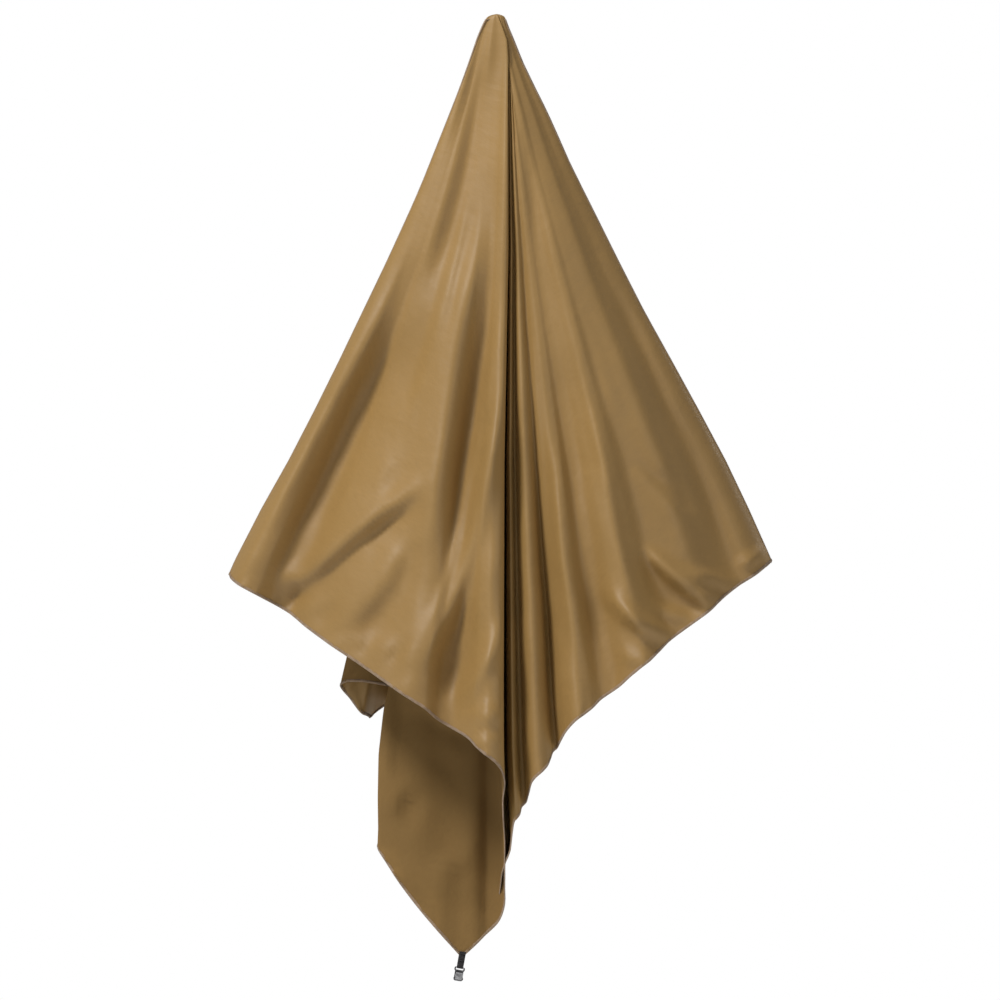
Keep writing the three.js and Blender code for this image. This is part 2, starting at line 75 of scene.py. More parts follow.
# ---- how the cloth folds ---------------------------------------------------------------------------
# Cloth hung from one point is a cone. The fold line is its level section one unit below that point, as
# across (x) and back (y). The waves of both front panels are as deep as the cloth's length makes them,
# and so are the rear pleats, from PLEAT_LINE.
PLEAT_LINE = 0.165
FOLD_LEFT_PANEL = [
    # from its free edge to the centre fold
    (-0.4786, 0.118), (-0.468, 0.07), (-0.447, 0.04), (-0.418, 0.04), (-0.385, 0.062),
    (-0.35, 0.055), (-0.31, 0.014), (-0.26, -0.024), (-0.21, -0.05), (-0.165, -0.08),
    (-0.13, -0.1), (-0.105, -0.098), (-0.082, -0.08), (-0.062, -0.08), (-0.042, -0.1),
    (-0.026, -0.126), (-0.01, -0.138),
]
FOLD_CORNER = [
    # the centre fold, and the cloth that runs straight back behind it
    (0.005, -0.13), (0.0125, -0.108), (0.0095, -0.084), (0.0095, -0.058), (0.0105, -0.032),
    (0.0095, -0.006), (0.0088, 0.02), (0.008, 0.042), (0.0005, 0.0585), (-0.0105, 0.0645),
    # the piece that ends in the tape's corner, with its other side to the front
    (-0.0225, 0.0605), (-0.0375, 0.0582), (-0.0475, 0.0575), (-0.066, 0.0575), (-0.1, 0.064),
    (-0.132, 0.074), (-0.15, 0.09), (-0.142, 0.102), (-0.118, 0.094), (-0.085, 0.078),
    (-0.068, 0.073), (-0.058, 0.079), (-0.064, 0.088), (-0.085, 0.096), (-0.115, 0.108),
    # the loose fold at the left
    (-0.15, 0.116), (-0.2, 0.1), (-0.226, 0.101), (-0.235, 0.112), (-0.222, 0.125),
]
TAPED = len(FOLD_LEFT_PANEL) + 11  # the point of the fold line that the tape's corner is at
FOLD_PLEATS = [
    (-0.194, 0.13), (-0.176, 0.18), (-0.152, 0.21), (-0.13, 0.19), (-0.118, 0.155),
    (-0.094, 0.148), (-0.078, 0.19), (-0.052, 0.215), (-0.03, 0.19), (-0.016, 0.162),
    (0.008, 0.162), (0.024, 0.195), (0.044, 0.198),
]
FOLD_INNER = [
    # doubled cloth inside, with the other lower corner
    (0.05, 0.168), (0.034, 0.144), (-0.005, 0.136), (-0.05, 0.132), (-0.085, 0.136),
    (-0.106, 0.125), (-0.09, 0.113), (-0.05, 0.117), (-0.016, 0.12), (-0.004, 0.11),
    (-0.018, 0.1), (-0.036, 0.097), (-0.047, 0.089), (-0.0455, 0.079), (-0.034, 0.0745),
    (-0.018, 0.0745), (-0.003, 0.0745), (0.009, 0.0705), (0.0165, 0.059), (0.0185, 0.04),
    # the narrow pleats beside the centre fold
    (0.0185, 0.018), (0.0175, -0.015), (0.019, -0.05), (0.0245, -0.074), (0.0295, -0.07),
    (0.0335, -0.056), (0.038, -0.055), (0.0425, -0.068), (0.049, -0.089), (0.058, -0.095),
    (0.0685, -0.086), (0.0745, -0.07), (0.079, -0.056), (0.0835, -0.054),
]
FOLD_RIGHT_PANEL = [
    # out to its free edge
    (0.089, -0.066), (0.1, -0.086), (0.118, -0.1), (0.136, -0.09), (0.155, -0.068),
    (0.178, -0.066), (0.205, -0.084), (0.228, -0.09), (0.252, -0.066), (0.28, -0.034),
    (0.32, -0.02), (0.355, -0.008), (0.395, 0.042), (0.43, 0.076), (0.462, 0.086),
    (0.49, 0.116), (0.5096, 0.165),
]
FOLD_LEFT, FOLD_RIGHT = -FOLD_LEFT_PANEL[0][0], FOLD_RIGHT_PANEL[-1][0]
RIGHT_ANGLE = math.radians(31.3)  # that the right panel takes up
CURVE_STEPS = 24

# How far the hung cloth reaches to the left and right at each drop below the hanging point. The bunch
# at the top makes a blunt dome, and gravity draws the free edges in below it.
REACH = np.array([
    (0.0, 0.0, 0.0), (0.001, 0.007, 0.006), (0.003, 0.0125, 0.0105), (0.006, 0.016, 0.0125),
    (0.009, 0.018, 0.0138), (0.018, 0.0225, 0.0168), (0.036, 0.030, 0.0245), (0.054, 0.036, 0.0318),
    (0.069, 0.0412, 0.0375), (0.1065, 0.0545, 0.0555), (0.144, 0.069, 0.0745), (0.1815, 0.084, 0.0915),
    (0.219, 0.099, 0.108), (0.2565, 0.114, 0.1265), (0.294, 0.1305, 0.1455), (0.369, 0.165, 0.183),
    (0.444, 0.201, 0.2215), (0.519, 0.237, 0.2635), (0.594, 0.2745, 0.305), (0.669, 0.3135, 0.3455),
    (0.744, 0.356, 0.3815), (0.82, 0.3955, 0.4155), (0.9, 0.4307, 0.4586), (1.5, 0.7179, 0.7644),
])

# Bands of the front panels that lean: slope, half width, and the points of the band as across and drop in
# turn. Lengths are in millimetres. A band drawn downwards or to the left leans towards upper left where its
# slope is positive, and away from there where it is negative.
BANDS = [
    (0.16, 16.5, [-15, 30, -41, 106, -61, 159, -90, 234, -124, 317, -161, 392, -206, 481, -251, 572,
        -300, 654, -352, 752, -380, 804]),
    (-0.34, 16.5, [-19, 46, -35, 106, -48, 174, -61, 241, -81, 317, -101, 377, -124, 429]),
    (-0.24, 36, [-116, 414, -143, 467, -188, 519, -239, 587, -281, 654, -318, 729, -352, 789]),
    (0.15, 21, [-5, 69, -13, 144, -17, 219, -22, 287]),
    (0.2, 9, [-44, 264, -59, 332, -73, 384, -88, 444, -104, 496, -123, 564, -143, 624]),
    (-0.2, 7.5, [-35, 272, -51, 339, -68, 407, -84, 467, -101, 519]),
    (0.2, 10.5, [-24, 272, -33, 324, -45, 377, -57, 429, -71, 474]),
    (-0.27, 19.5, [-5, 324, -15, 384, -29, 444, -41, 496, -52, 556, -61, 617, -71, 684, -78, 759, -84,
        834]),
    (0.3, 7.5, [5, 429, -7, 496, -19, 556, -30, 617, -42, 676, -52, 729, -63, 789, -75, 837, -90, 884,
        -114, 921, -138, 962]),
    (-0.16, 6, [2, 496, -12, 572, -22, 624, -33, 676, -44, 729, -54, 789, -68, 842, -84, 890, -110,
        933]),
    (0.3, 7.5, [9, 512, -2, 579, -12, 632, -22, 684, -35, 737, -48, 796, -63, 849, -80, 898, -101, 947,
        -119, 987]),
    (-0.38, 13.5, [9, 579, 2, 646, -9, 707, -22, 767, -36, 822, -52, 872, -71, 916, -93, 962, -114,
        1006]),
    (-0.14, 21, [-7, 819, -26, 879, -46, 939, -73, 996]),
    (0.26, 12, [7, 897, -11, 934, -30, 969, -50, 1004, -66, 1036]),
    (-0.3, 10.5, [6, 954, -15, 981, -32, 1014, -45, 1041]),
    (0.3, 7.5, [12, 1038, -18, 1035, -44, 1046]),
    (-0.22, 7.5, [12, 1062, -13, 1062, -41, 1065]),
    (0.25, 7.5, [12, 1083, -11, 1080, -32, 1076]),
    (-0.52, 12, [-105, 692, -120, 717, -145, 740, -170, 756, -194, 775, -221, 796, -246, 819, -269, 839,
        -291, 857, -320, 858, -347, 854]),
    (0.12, 13.5, [-86, 681, -116, 696, -153, 725, -191, 749, -228, 777, -266, 807, -295, 831, -326, 834,
        -352, 836]),
    (-0.36, 18, [-138, 781, -143, 819, -156, 854, -178, 884, -203, 909, -225, 933]),
    (-0.12, 10.5, [-143, 669, -164, 696, -181, 720]),
    (-0.35, 6, [-298, 867, -321, 879]),
    (0.3, 6, [-288, 879, -310, 897]),
    (-0.2, 9, [-251, 879, -281, 909]),
    (0.2, 9, [-231, 894, -258, 924]),
    (-0.3, 6, [-188, 942, -210, 951]),
    (0.25, 7.5, [-145, 927, -176, 939, -203, 957]),
    (-0.3, 6, [-148, 947, -171, 969]),
    (0.25, 7.5, [-128, 939, -148, 972]),
    (0.2, 12, [33, 137, 45, 197, 56, 249, 68, 301, 81, 354, 96, 414, 111, 474, 124, 534, 137, 587, 148,
        646, 161, 714, 174, 777]),
    (-0.24, 9, [33, 174, 44, 227, 51, 287, 56, 332]),
    (-0.1, 24, [90, 174, 117, 264, 150, 347, 173, 407]),
    (-0.1, 7.5, [116, 459, 131, 496, 145, 534]),
    (0.12, 9, [137, 496, 154, 549, 173, 609]),
    (-0.24, 16.5, [161, 384, 184, 447, 210, 501, 233, 549, 255, 597, 279, 649, 300, 702, 320, 759, 338,
        816]),
    (0.16, 10.5, [188, 411, 214, 477, 239, 537, 261, 587, 284, 636]),
    (-0.1, 13.5, [156, 699, 173, 762, 195, 819, 203, 842]),
    (-0.24, 9, [204, 673, 230, 696, 257, 723, 289, 756]),
    (0.14, 9, [227, 673, 263, 699, 304, 741]),
    (-0.3, 7.5, [52, 474, 60, 579, 66, 669, 71, 789, 73, 909, 75, 1029]),
    (0.28, 9, [81, 617, 86, 699, 88, 767, 93, 822, 102, 872, 111, 931, 119, 999]),
    (-0.1, 13.5, [95, 624, 101, 729, 110, 819, 129, 894, 148, 954]),
    (0.1, 12, [156, 819, 154, 901, 164, 939, 178, 977]),
    (-0.55, 10.5, [329, 888, 304, 882, 281, 867, 257, 846, 236, 825, 217, 801]),
    (0.34, 9, [350, 875, 323, 872, 295, 855, 269, 834, 241, 810, 221, 786]),
    (0.25, 7.5, [357, 846, 327, 840, 292, 834, 263, 822]),
    (-0.45, 7.5, [358, 867, 338, 861, 317, 852, 289, 849]),
    (-0.55, 9, [263, 944, 237, 934, 211, 922, 188, 906, 171, 885, 158, 864]),
    (0.3, 9, [278, 927, 247, 916, 217, 903, 194, 884, 173, 864]),
    (0.2, 9, [312, 897, 282, 898, 252, 888, 230, 876]),
    (-0.3, 7.5, [281, 916, 257, 909, 239, 897]),
    (-0.5, 7.5, [413, 813, 392, 822, 367, 836]),
    (0.25, 7.5, [402, 801, 377, 815, 355, 828]),
    (0.25, 6, [383, 828, 357, 849]),
    (0.15, 7.5, [230, 962, 207, 957, 188, 947]),
    (-0.25, 6, [214, 975, 188, 972]),
]

# Bands of the corner piece.
CORNER_BANDS = [
    (-0.34, 8, [-45, 1280, -75, 1295, -105, 1312, -125, 1330]),
    (0.22, 9, [-50, 1258, -85, 1275, -120, 1298]),
    (-0.3, 11, [-118, 1165, -140, 1182, -152, 1212]),
    (0.2, 9, [-100, 1160, -125, 1205, -142, 1235]),
    (-0.3, 6, [-152, 1000, -158, 1070, -162, 1160]),
    (0.25, 5, [-168, 1000, -172, 1070, -175, 1130]),
    (-0.4, 13, [-35, 1075, -70, 1060, -110, 1030]),
    (-0.14, 18, [-95, 1080, -100, 1180, -100, 1290]),
    (0.12, 16, [-45, 1100, -50, 1200, -55, 1300]),
    (-0.16, 9, [-20, 1150, -24, 1250, -30, 1350]),
]

# ---- sizes and colours -----------------------------------------------------------------------------


def metres(name, description, default):
    return bpy.props.FloatProperty(name=name, description=description, default=default, unit="LENGTH")


def tint(name, description, default):
    return bpy.props.FloatVectorProperty(
        name=name, description=description, subtype="COLOR", size=3, default=default)


class WrapSizes(bpy.types.PropertyGroup):
    """Sizes and colours of the hung cloth and its edges."""

    cloth_length: metres("Cloth length", "Long edge of the flat cloth", 1.875)
    cloth_width: metres("Cloth width", "Short edge of the flat cloth", 1.07)
    thickness: metres("Thickness", "Thickness of the knit", 0.0006)
    columns: bpy.props.IntProperty(
        name="Columns", description="Lines of the mesh that run down from the hanging point", default=560)
    seam_width: metres("Seam width", "How far the overlock reaches in from the edge", 0.0034)
    stitch_pitch: metres("Stitch pitch", "Distance between overlock stitches", 0.0029)
    face_color: tint("Face", "Colour of the sheened face", (0.29, 0.171, 0.0525))
    reverse_color: tint("Reverse", "Colour of the matte reverse", (0.205, 0.121, 0.041))
    thread_color: tint("Thread", "Colour of the overlock thread", (0.34, 0.235, 0.15))


class TrimSizes(bpy.types.PropertyGroup):
    """Colours and small sizes of the tape, its tacks and the clip."""

    tape_color: tint("Tape", "Colour of the woven tape", (0.012, 0.011, 0.012))
    body_color: tint("Clip body", "Colour of the clip's plated body", (0.11, 0.11, 0.115))
    lever_color: tint("Lever", "Colour of the clip's lever", (0.34, 0.34, 0.35))
    edge_round: metres("Edge round", "Rounding of the clip's edges", 0.00012)
    tack_pitch: metres("Tack pitch", "Distance between a bar tack's threads", 0.00048)


class StageSizes(bpy.types.PropertyGroup):
    """The floor, the lights and the camera."""

    floor_drop: metres("Floor", "Depth of the floor below the hanging point", 1.9)
    view_width: metres("View width", "Width that the camera takes in", 1.5)
    lens: bpy.props.FloatProperty(
        name="Lens", description="Focal length in millimetres", default=320.0)
    key_power: bpy.props.FloatProperty(name="Key light", description="Power in watts", default=270.0)
    fill_power: bpy.props.FloatProperty(name="Fill light", description="Power in watts", default=34.0)
    ambient: bpy.props.FloatProperty(name="Ambient", description="Light from all round", default=0.30)


# ---- materials -------------------------------------------------------------------------------------


class Value:
    """A node's output, with arithmetic that adds Math nodes to its material."""

    def __init__(self, look, socket):
        self.look, self.socket = look, socket

    def _math(self, operation, first, second):
        return self.look.node("ShaderNodeMath", {"operation": operation}, {0: first, 1: second})

    def __add__(self, other):
        return self._math("ADD", self, other)

    __radd__ = __add__

    def __sub__(self, other):
        return self._math("SUBTRACT", self, other)

    def __rsub__(self, other):
        return self._math("SUBTRACT", other, self)

    def __mul__(self, other):
        return self._math("MULTIPLY", self, other)

    __rmul__ = __mul__

    def wave(self):
        return self._math("SINE", self, 0.0)


def add_node(tree, kind, settings=None, inputs=None):
    """A node in any tree. Its inputs are constants, or values and sockets to link from."""
    made = tree.nodes.new(kind)
    for key, value in (settings or {}).items():
        setattr(made, key, value)
    for key, value in (inputs or {}).items():
        source = value.socket if isinstance(value, Value) else value
        if isinstance(source, bpy.types.NodeSocket):
            tree.links.new(source, made.inputs[key])
        elif source is not None:
            made.inputs[key].default_value = source
    return made


class Look:
    """One material, built node by node."""

    def __init__(self, name, **constants):
        self.material = bpy.data.materials.new(name)
        self.material.use_nodes = True
        self.tree = self.material.node_tree
        self.shader = self.tree.nodes["Principled BSDF"]
        for socket, value in constants.items():
            self.shader.inputs[socket.replace("_", " ")].default_value = value

    def node(self, kind, settings=None, inputs=None, out=0):
        return Value(self, add_node(self.tree, kind, settings, inputs).outputs[out])

    def feed(self, socket, value):
        self.tree.links.new(value.socket, self.shader.inputs[socket])

    def noise(self, place, scale, detail=2.0, rough=0.5):
        inputs = {"Vector": place, "Scale": scale, "Detail": detail, "Roughness": rough}
        return self.node("ShaderNodeTexNoise", {"noise_dimensions": "3D"}, inputs)

    def mix(self, share, low, high):
        """A colour between two others; the colours are tuples or values."""
        full = [c if isinstance(c, Value) else (*c, 1.0) for c in (low, high)]
        settings = {"data_type": "RGBA", "clamp_factor": True}
        return self.node("ShaderNodeMix", settings, {0: share, 6: full[0], 7: full[1]}, out=2)

    def ramp(self, share, low, high):
        """0 below low, 1 above high and smooth between."""
        settings = {"interpolation_type": "SMOOTHSTEP"}
        return self.node("ShaderNodeMapRange", settings, {"Value": share, 1: low, 2: high})

    def mapped(self, place, scale=(1, 1, 1), turn=(0, 0, 0), move=(0, 0, 0)):
        inputs = {"Vector": place, "Scale": scale, "Rotation": turn, "Location": move}
        return self.node("ShaderNodeMapping", {"vector_type": "POINT"}, inputs)

    def split(self, place):
        separate = self.node("ShaderNodeSeparateXYZ", None, {0: place})
        outputs = separate.socket.node.outputs
        return [Value(self, outputs[i]) for i in range(3)]

    def bump(self, height, distance, strength=1.0, under=None):
        inputs = {"Height": height, "Distance": distance, "Strength": strength, "Normal": under}
        return self.node("ShaderNodeBump", None, inputs)

    def objects(self):
        return self.node("ShaderNodeTexCoord", None, None, out=3)

    def uv(self):
        return self.node("ShaderNodeUVMap", {"uv_map": "flat"}, None)


def scaled(color, share):
    return tuple(min(1.0, c * share) for c in color)


WALE = 0.0013  # width of one column of knit loops
COURSE = 0.0010  # height of one row of loops


def knit_look(name, color, sheened):
    """Fine knit, with wales that run the width of the cloth, on the cloth's own flat coordinates."""
    look = Look(
        name,
        Sheen_Weight=0.32 if sheened else 0.22,
        Sheen_Roughness=0.35 if sheened else 0.6,
        Sheen_Tint=(*scaled(color, 2.4), 1.0),
        Specular_IOR_Level=0.44 if sheened else 0.16,
    )
    flat = look.uv()
    across, down, _ = look.split(flat)
    # Loops: each wale is a pair of strands that lean towards each other.
    wale = (across * (2 * math.pi / WALE)).wave()
    lean = (across * (math.pi / WALE)).wave()
    loops = (down * (2 * math.pi / COURSE) + lean * lean * 2.2).wave()
    knit = wale * 0.6 + loops * 0.4
    # Slack in thin cloth: soft creases that run mostly down from the hanging point.
    creases = look.noise(look.mapped(flat, (9, 5, 1)), 1.0, 4.0, 0.55)
    ripples = look.noise(look.mapped(flat, (38, 24, 1), move=(3, 1, 0)), 1.0, 3.0, 0.6)
    soft = look.bump(creases, 0.009, 0.4)
    fine = look.bump(ripples, 0.0018, 0.4, soft)
    look.feed("Normal", look.bump(knit, 0.00010, 0.35, fine))
    # Colour: uneven dye, single darker yarns, painted shade between the loops, and dust and rubbing towards
    # the hems.
    dye = look.ramp(look.noise(flat, 3.2, 3.0), 0.3, 0.72)
    yarn = look.ramp(look.noise(look.mapped(flat, (900, 60, 1)), 1.0, 2.0), 0.35, 0.75)
    base = look.mix(dye, scaled(color, 0.93), scaled(color, 1.07))
    base = look.mix(yarn * 0.5, base, scaled(color, 0.84))
    # Painted shade: the gaps between the knit's loops are darker, following the knit's bump height.
    base = look.mix(look.ramp(knit, -0.9, 0.1), scaled(color, 0.82), base)
    rub = look.ramp(down, 1.02, 1.068) * look.ramp(look.noise(flat, 22.0, 3.0), 0.45, 0.7)
    base = look.mix(rub * 0.45, base, scaled(color, 1.3))
    look.feed("Base Color", base)
    low, high = (0.48, 0.63) if sheened else (0.78, 0.92)
    look.feed("Roughness", look.noise(flat, 14.0, 3.0) * (high - low) + low + rub * 0.08)
    return look.material


def thread_look(name, color):
    """Spun thread: a fine twist and a little fluff."""
    look = Look(name, Sheen_Weight=0.3, Sheen_Roughness=0.5, Specular_IOR_Level=0.2)
    place = look.objects()
    x, y, z = look.split(place)
    twist = (x * 5200.0 + y * 4300.0 + z * 6100.0).wave()
    fluff = look.noise(place, 2600.0, 2.0)
    look.feed("Normal", look.bump(twist * 0.6 + fluff, 0.00012, 0.5))
    shade = look.ramp(look.noise(place, 160.0, 3.0), 0.3, 0.72)
    base = look.mix(shade, scaled(color, 0.78), scaled(color, 1.14))
    # Painted shade: the twist's grooves are darker, following the twist's bump height.
    look.feed("Base Color", look.mix(look.ramp(twist, -1.0, 0.4), scaled(color, 0.62), base))
    look.feed("Roughness", fluff * 0.2 + 0.7)
    return look.material


def tape_look(color, turn):
    """Woven tape: ribs along it and picks across it, in the tape's own directions."""
    look = Look("tape_weave", Sheen_Weight=0.25, Sheen_Roughness=0.5, Specular_IOR_Level=0.25)
    x, y, z = look.split(look.mapped(look.objects(), turn=turn))
    rib = (x * (2 * math.pi / 0.0012)).wave()
    pick = (z * (2 * math.pi / 0.0008)).wave()
    weave = rib * pick * 0.5 + rib * 0.5
    look.feed("Normal", look.bump(weave, 0.00022, 0.7))
    wear = look.ramp(look.noise(look.objects(), 420.0, 3.0), 0.5, 0.78)
    # Painted shade in the weave's hollows and a painted highlight on its raised ribs, following the weave's
    # bump height.
    base = look.mix(look.ramp(weave, -0.8, 0.7), scaled(color, 0.5), scaled(color, 1.9))
    look.feed("Base Color", look.mix(wear * 0.5, base, scaled(color, 4.0)))
    look.feed("Roughness", wear * 0.12 + 0.68)
    return look.material


def metal_look(name, color, low, high, turn):
    """Satin metal with drawn lines, small scratches and rubbed high spots."""
    look = Look(name, Specular_IOR_Level=0.6)
    look.shader.inputs["Metallic"].default_value = 1.0
    place = look.objects()
    drawn = look.noise(look.mapped(place, (9000, 700, 700), turn=turn), 1.0, 2.0)
    slanted = look.mapped(place, (6000, 900, 900), turn=(0.4, 0.9, 0.3))
    scratch = look.ramp(look.noise(slanted, 1.0, 4.0), 0.62, 0.66)
    patches = look.ramp(look.noise(place, 300.0, 3.0), 0.35, 0.7)
    base = look.mix(patches, scaled(color, 0.8), scaled(color, 1.15))
    look.feed("Base Color", look.mix(scratch * 0.5, base, scaled(color, 2.2)))
    look.feed("Roughness", drawn * (high - low) + low + patches * 0.06)
    look.feed("Normal", look.bump(drawn + scratch * -0.5, 0.00003, 0.6))
    return look.material


# ---- mesh helpers ----------------------------------------------------------------------------------


def piece_from(name, points, faces, materials, smooth=True):
    mesh = bpy.data.meshes.new(name)
    mesh.from_pydata([tuple(p) for p in points], [], faces)
    mesh.update()
    for material in materials:
        mesh.materials.append(material)
    mesh.polygons.foreach_set("use_smooth", np.full(len(mesh.polygons), smooth))
    piece = bpy.data.objects.new(name, mesh)
    bpy.context.scene.collection.objects.link(piece)
    return piece


def unit(vectors):
    return vectors / np.maximum(np.linalg.norm(vectors, axis=-1, keepdims=True), 1e-12)


def smoothstep(low, high, value):
    share = np.clip((value - low) / (high - low), 0, 1)
    return share * share * (3 - 2 * share)


# ---- the hung cloth --------------------------------------------------------------------------------


def catmull(points):
    """A centripetal spline through the points, CURVE_STEPS steps between each two."""
    rows = []
    for i in range(len(points) - 1):
        p1, p2 = points[i], points[i + 1]
        p0 = points[i - 1] if i else 2 * p1 - p2
        p3 = points[i + 2] if i + 2 < len(points) else 2 * p2 - p1
        d0, d1, d2 = (np.sqrt(np.linalg.norm(b - a)) for a, b in ((p0, p1), (p1, p2), (p2, p3)))
        m1 = ((p1 - p0) / d0 - (p2 - p0) / (d0 + d1) + (p2 - p1) / d1) * d1
        m2 = ((p2 - p1) / d1 - (p3 - p1) / (d1 + d2) + (p3 - p2) / d2) * d1
        t = np.linspace(0, 1, CURVE_STEPS, endpoint=False)[:, None]
        rows.append(p1 + m1 * t + (3 * (p2 - p1) - 2 * m1 - m2) * t**2 + (2 * (p1 - p2) + m1 + m2) * t**3)
    return np.vstack([*rows, points[-1:]])


def waved(points, depth, level=None):
    """The points with their waves about a level, or about the line between their ends, made deeper."""
    x, y = np.array(points).T
    share = (x - x[0]) / (x[-1] - x[0])
    line = y[0] + share * (y[-1] - y[0]) if level is None else level
    return np.column_stack([x, line + depth * (y - line)])


def fold_rays(left=1.0, rear=1.0, right=1.0):
    """Unit rays down the cloth from the hanging point, and the angle along the cloth at each."""
    section = np.vstack([
        waved(FOLD_LEFT_PANEL, left), FOLD_CORNER, waved(FOLD_PLEATS, rear, PLEAT_LINE), FOLD_INNER,
        waved(FOLD_RIGHT_PANEL, right)])
    rays = unit(catmull(unit(np.column_stack([section, -np.ones(len(section))]))))
    steps = np.arccos(np.clip((rays[1:] * rays[:-1]).sum(1), -1, 1))
    return rays, np.concatenate([[0], np.cumsum(steps)])


def halved(low, high, angle_at, wanted):
    """The value between low and high that gives the wanted angle."""
    for _ in range(34):
        middle = (low + high) / 2
        low, high = (middle, high) if angle_at(middle) < wanted else (low, middle)
    return (low + high) / 2


def solve_rays(corner):
    def right_angle(depth):
        angles = fold_rays(right=depth)[1]
        return angles[-1] - angles[-1 - (len(FOLD_RIGHT_PANEL) - 1) * CURVE_STEPS]

    left = halved(0.3, 2.5, lambda depth: fold_rays(left=depth)[1][TAPED * CURVE_STEPS], corner)
    right = halved(0.3, 2.5, right_angle, RIGHT_ANGLE)
    rear = halved(0.2, 3.0, lambda depth: fold_rays(left, depth, right)[1][-1], math.pi)
    rays, angles = fold_rays(left, rear, right)
    return rays, angles * (math.pi / angles[-1])


FRONT_LEFT, FRONT_RIGHT = 38.0, 141.0  # degrees along the cloth where the front panels end


def pick_columns(rays, angles, reach, corner, count):
    """Angles for the mesh's columns: close together where the cloth turns and along the lower edge."""
    along = np.gradient(rays, axis=0)
    turn = np.linalg.norm(np.diff(unit(along), axis=0), axis=1)
    length = np.linalg.norm(np.diff(rays * reach[:, None], axis=0), axis=1)
    degrees = np.degrees(angles[1:])
    front = (degrees < FRONT_LEFT) | (degrees > FRONT_RIGHT)
    cost = np.concatenate([[0], np.cumsum(length / np.where(front, 0.0058, 0.013) + turn / 0.17)])
    picked = np.interp(np.linspace(0, cost[-1], count), cost, angles)
    for place in (corner, math.pi - corner):
        picked[np.argmin(abs(picked - place))] = place
    return picked


BAND_DEPTH = 3.9  # what every band's slope is multiplied by
GRID = 0.004  # spacing of the grid that the bands' slopes become heights on
GRID_START = (-0.56, -0.1)  # its first point, across and down
GRID_COUNT = (280, 350)
LONGEST_SWELL = 0.5  # swells longer than this are left to the folds


def wrinkle_grid(bands):
    """Heights whose slopes follow the bands as nearly as they can (Poisson's equation, by Fourier)."""
    across = GRID_START[0] + GRID * np.arange(GRID_COUNT[0])
    down = GRID_START[1] + GRID * np.arange(GRID_COUNT[1])
    x, drop = np.meshgrid(across, down)
    slope_x, slope_down = np.zeros_like(x), np.zeros_like(x)
    for tilt, wide, places in bands:
        path = np.array(places).reshape(-1, 2) / 1000
        sizes = np.linalg.norm(np.diff(path, axis=0), axis=1)
        nearest, along = np.full(x.shape, 1e9), np.zeros_like(x)
        lean_x, lean_down = np.zeros_like(x), np.zeros_like(x)
        done = 0.0
        for a, b, size in zip(path[:-1], path[1:], sizes):
            run = (b - a) / size
            t = np.clip((x - a[0]) * run[0] + (drop - a[1]) * run[1], 0, size)
            distance = np.hypot(x - a[0] - t * run[0], drop - a[1] - t * run[1])
            closer = distance < nearest
            nearest = np.where(closer, distance, nearest)
            along = np.where(closer, (done + t) / sizes.sum(), along)
            lean_x = np.where(closer, run[1], lean_x)
            lean_down = np.where(closer, -run[0], lean_down)
            done += size
        strength = BAND_DEPTH * tilt * np.exp(-((nearest / (wide / 1000)) ** 2))
        strength *= smoothstep(0, 0.22, along) * smoothstep(0, 0.22, 1 - along)
        slope_x += strength * lean_x
        slope_down += strength * lean_down
    rate_x = 2 * math.pi * np.fft.fftfreq(GRID_COUNT[0], GRID)[None, :]
    rate_down = 2 * math.pi * np.fft.fftfreq(GRID_COUNT[1], GRID)[:, None]
    square = rate_x**2 + rate_down**2
    square[0, 0] = 1
    heights = -1j * (rate_x * np.fft.fft2(slope_x) + rate_down * np.fft.fft2(slope_down)) / square
    heights *= 1 - np.exp(-square / (2 * math.pi / LONGEST_SWELL) ** 2)
    return np.fft.ifft2(heights).real


def wrinkle_heights(bands, x, drop):
    """How far the bands move the cloth forwards at these places."""
    grid = wrinkle_grid(bands)
    i = np.clip((x - GRID_START[0]) / GRID, 0, GRID_COUNT[0] - 2)
    j = np.clip((drop - GRID_START[1]) / GRID, 0, GRID_COUNT[1] - 2)
    i0, j0 = i.astype(int), j.astype(int)
    s, t = i - i0, j - j0
    upper = grid[j0, i0] * (1 - s) + grid[j0, i0 + 1] * s
    lower = grid[j0 + 1, i0] * (1 - s) + grid[j0 + 1, i0 + 1] * s
    return upper * (1 - t) + lower * t


def swells(first, second, size, count, seed):
    """Smooth uneven swells over two coordinates, about size apart, between -1 and 1."""
    random = np.random.default_rng(seed)
    total = np.zeros(np.broadcast(first, second).shape)
    for _ in range(count):
        turn, phase = random.uniform(0, 2 * math.pi, 2)
        rate = 2 * math.pi / (size * random.uniform(0.7, 1.6))
        total += np.sin(rate * (math.cos(turn) * first + math.sin(turn) * second) + phase)
    return total / math.sqrt(count * 2)


# The share by which the lower edge rides up at each degree along the cloth.
LIFT = np.array([
    (26, 0), (30, 0.006), (32.6, 0.016), (36, 0.0155), (40, 0.005), (43, 0), (63.5, 0), (66, 0.06),
    (67.5, 0.11), (70.4, 0.095), (71.8, 0.083), (72.6, 0.07), (73.7, 0.052), (75.5, 0.024), (77, 0.013),
    (78.5, 0), (124, 0), (127, 0.012), (129.5, 0.024), (132, 0.032), (134, 0.028), (136.5, 0.012), (138, 0),
    (158, 0), (164, 0.006), (169, 0.011), (177, 0.01), (180, 0.006),
]).T
# The middle folds' shift to the right at each drop, and how far right the hidden cloth may reach.
UPRIGHT = ((0, 0.02, 0.04, 0.07, 0.13, 0.354, 0.669, 1.0, 1.1, 1.3),
           (0, 0.008, 0.015, 0.0165, 0.0155, 0.013, 0.0025, -0.003, -0.004, 0))
BEHIND = ((1.08, 1.13, 1.2, 1.2345, 1.2645, 1.29, 1.36, 1.42),
          (0.12, 0.083, 0.052, 0.039, 0.015, 0.008, 0.0, -0.03))
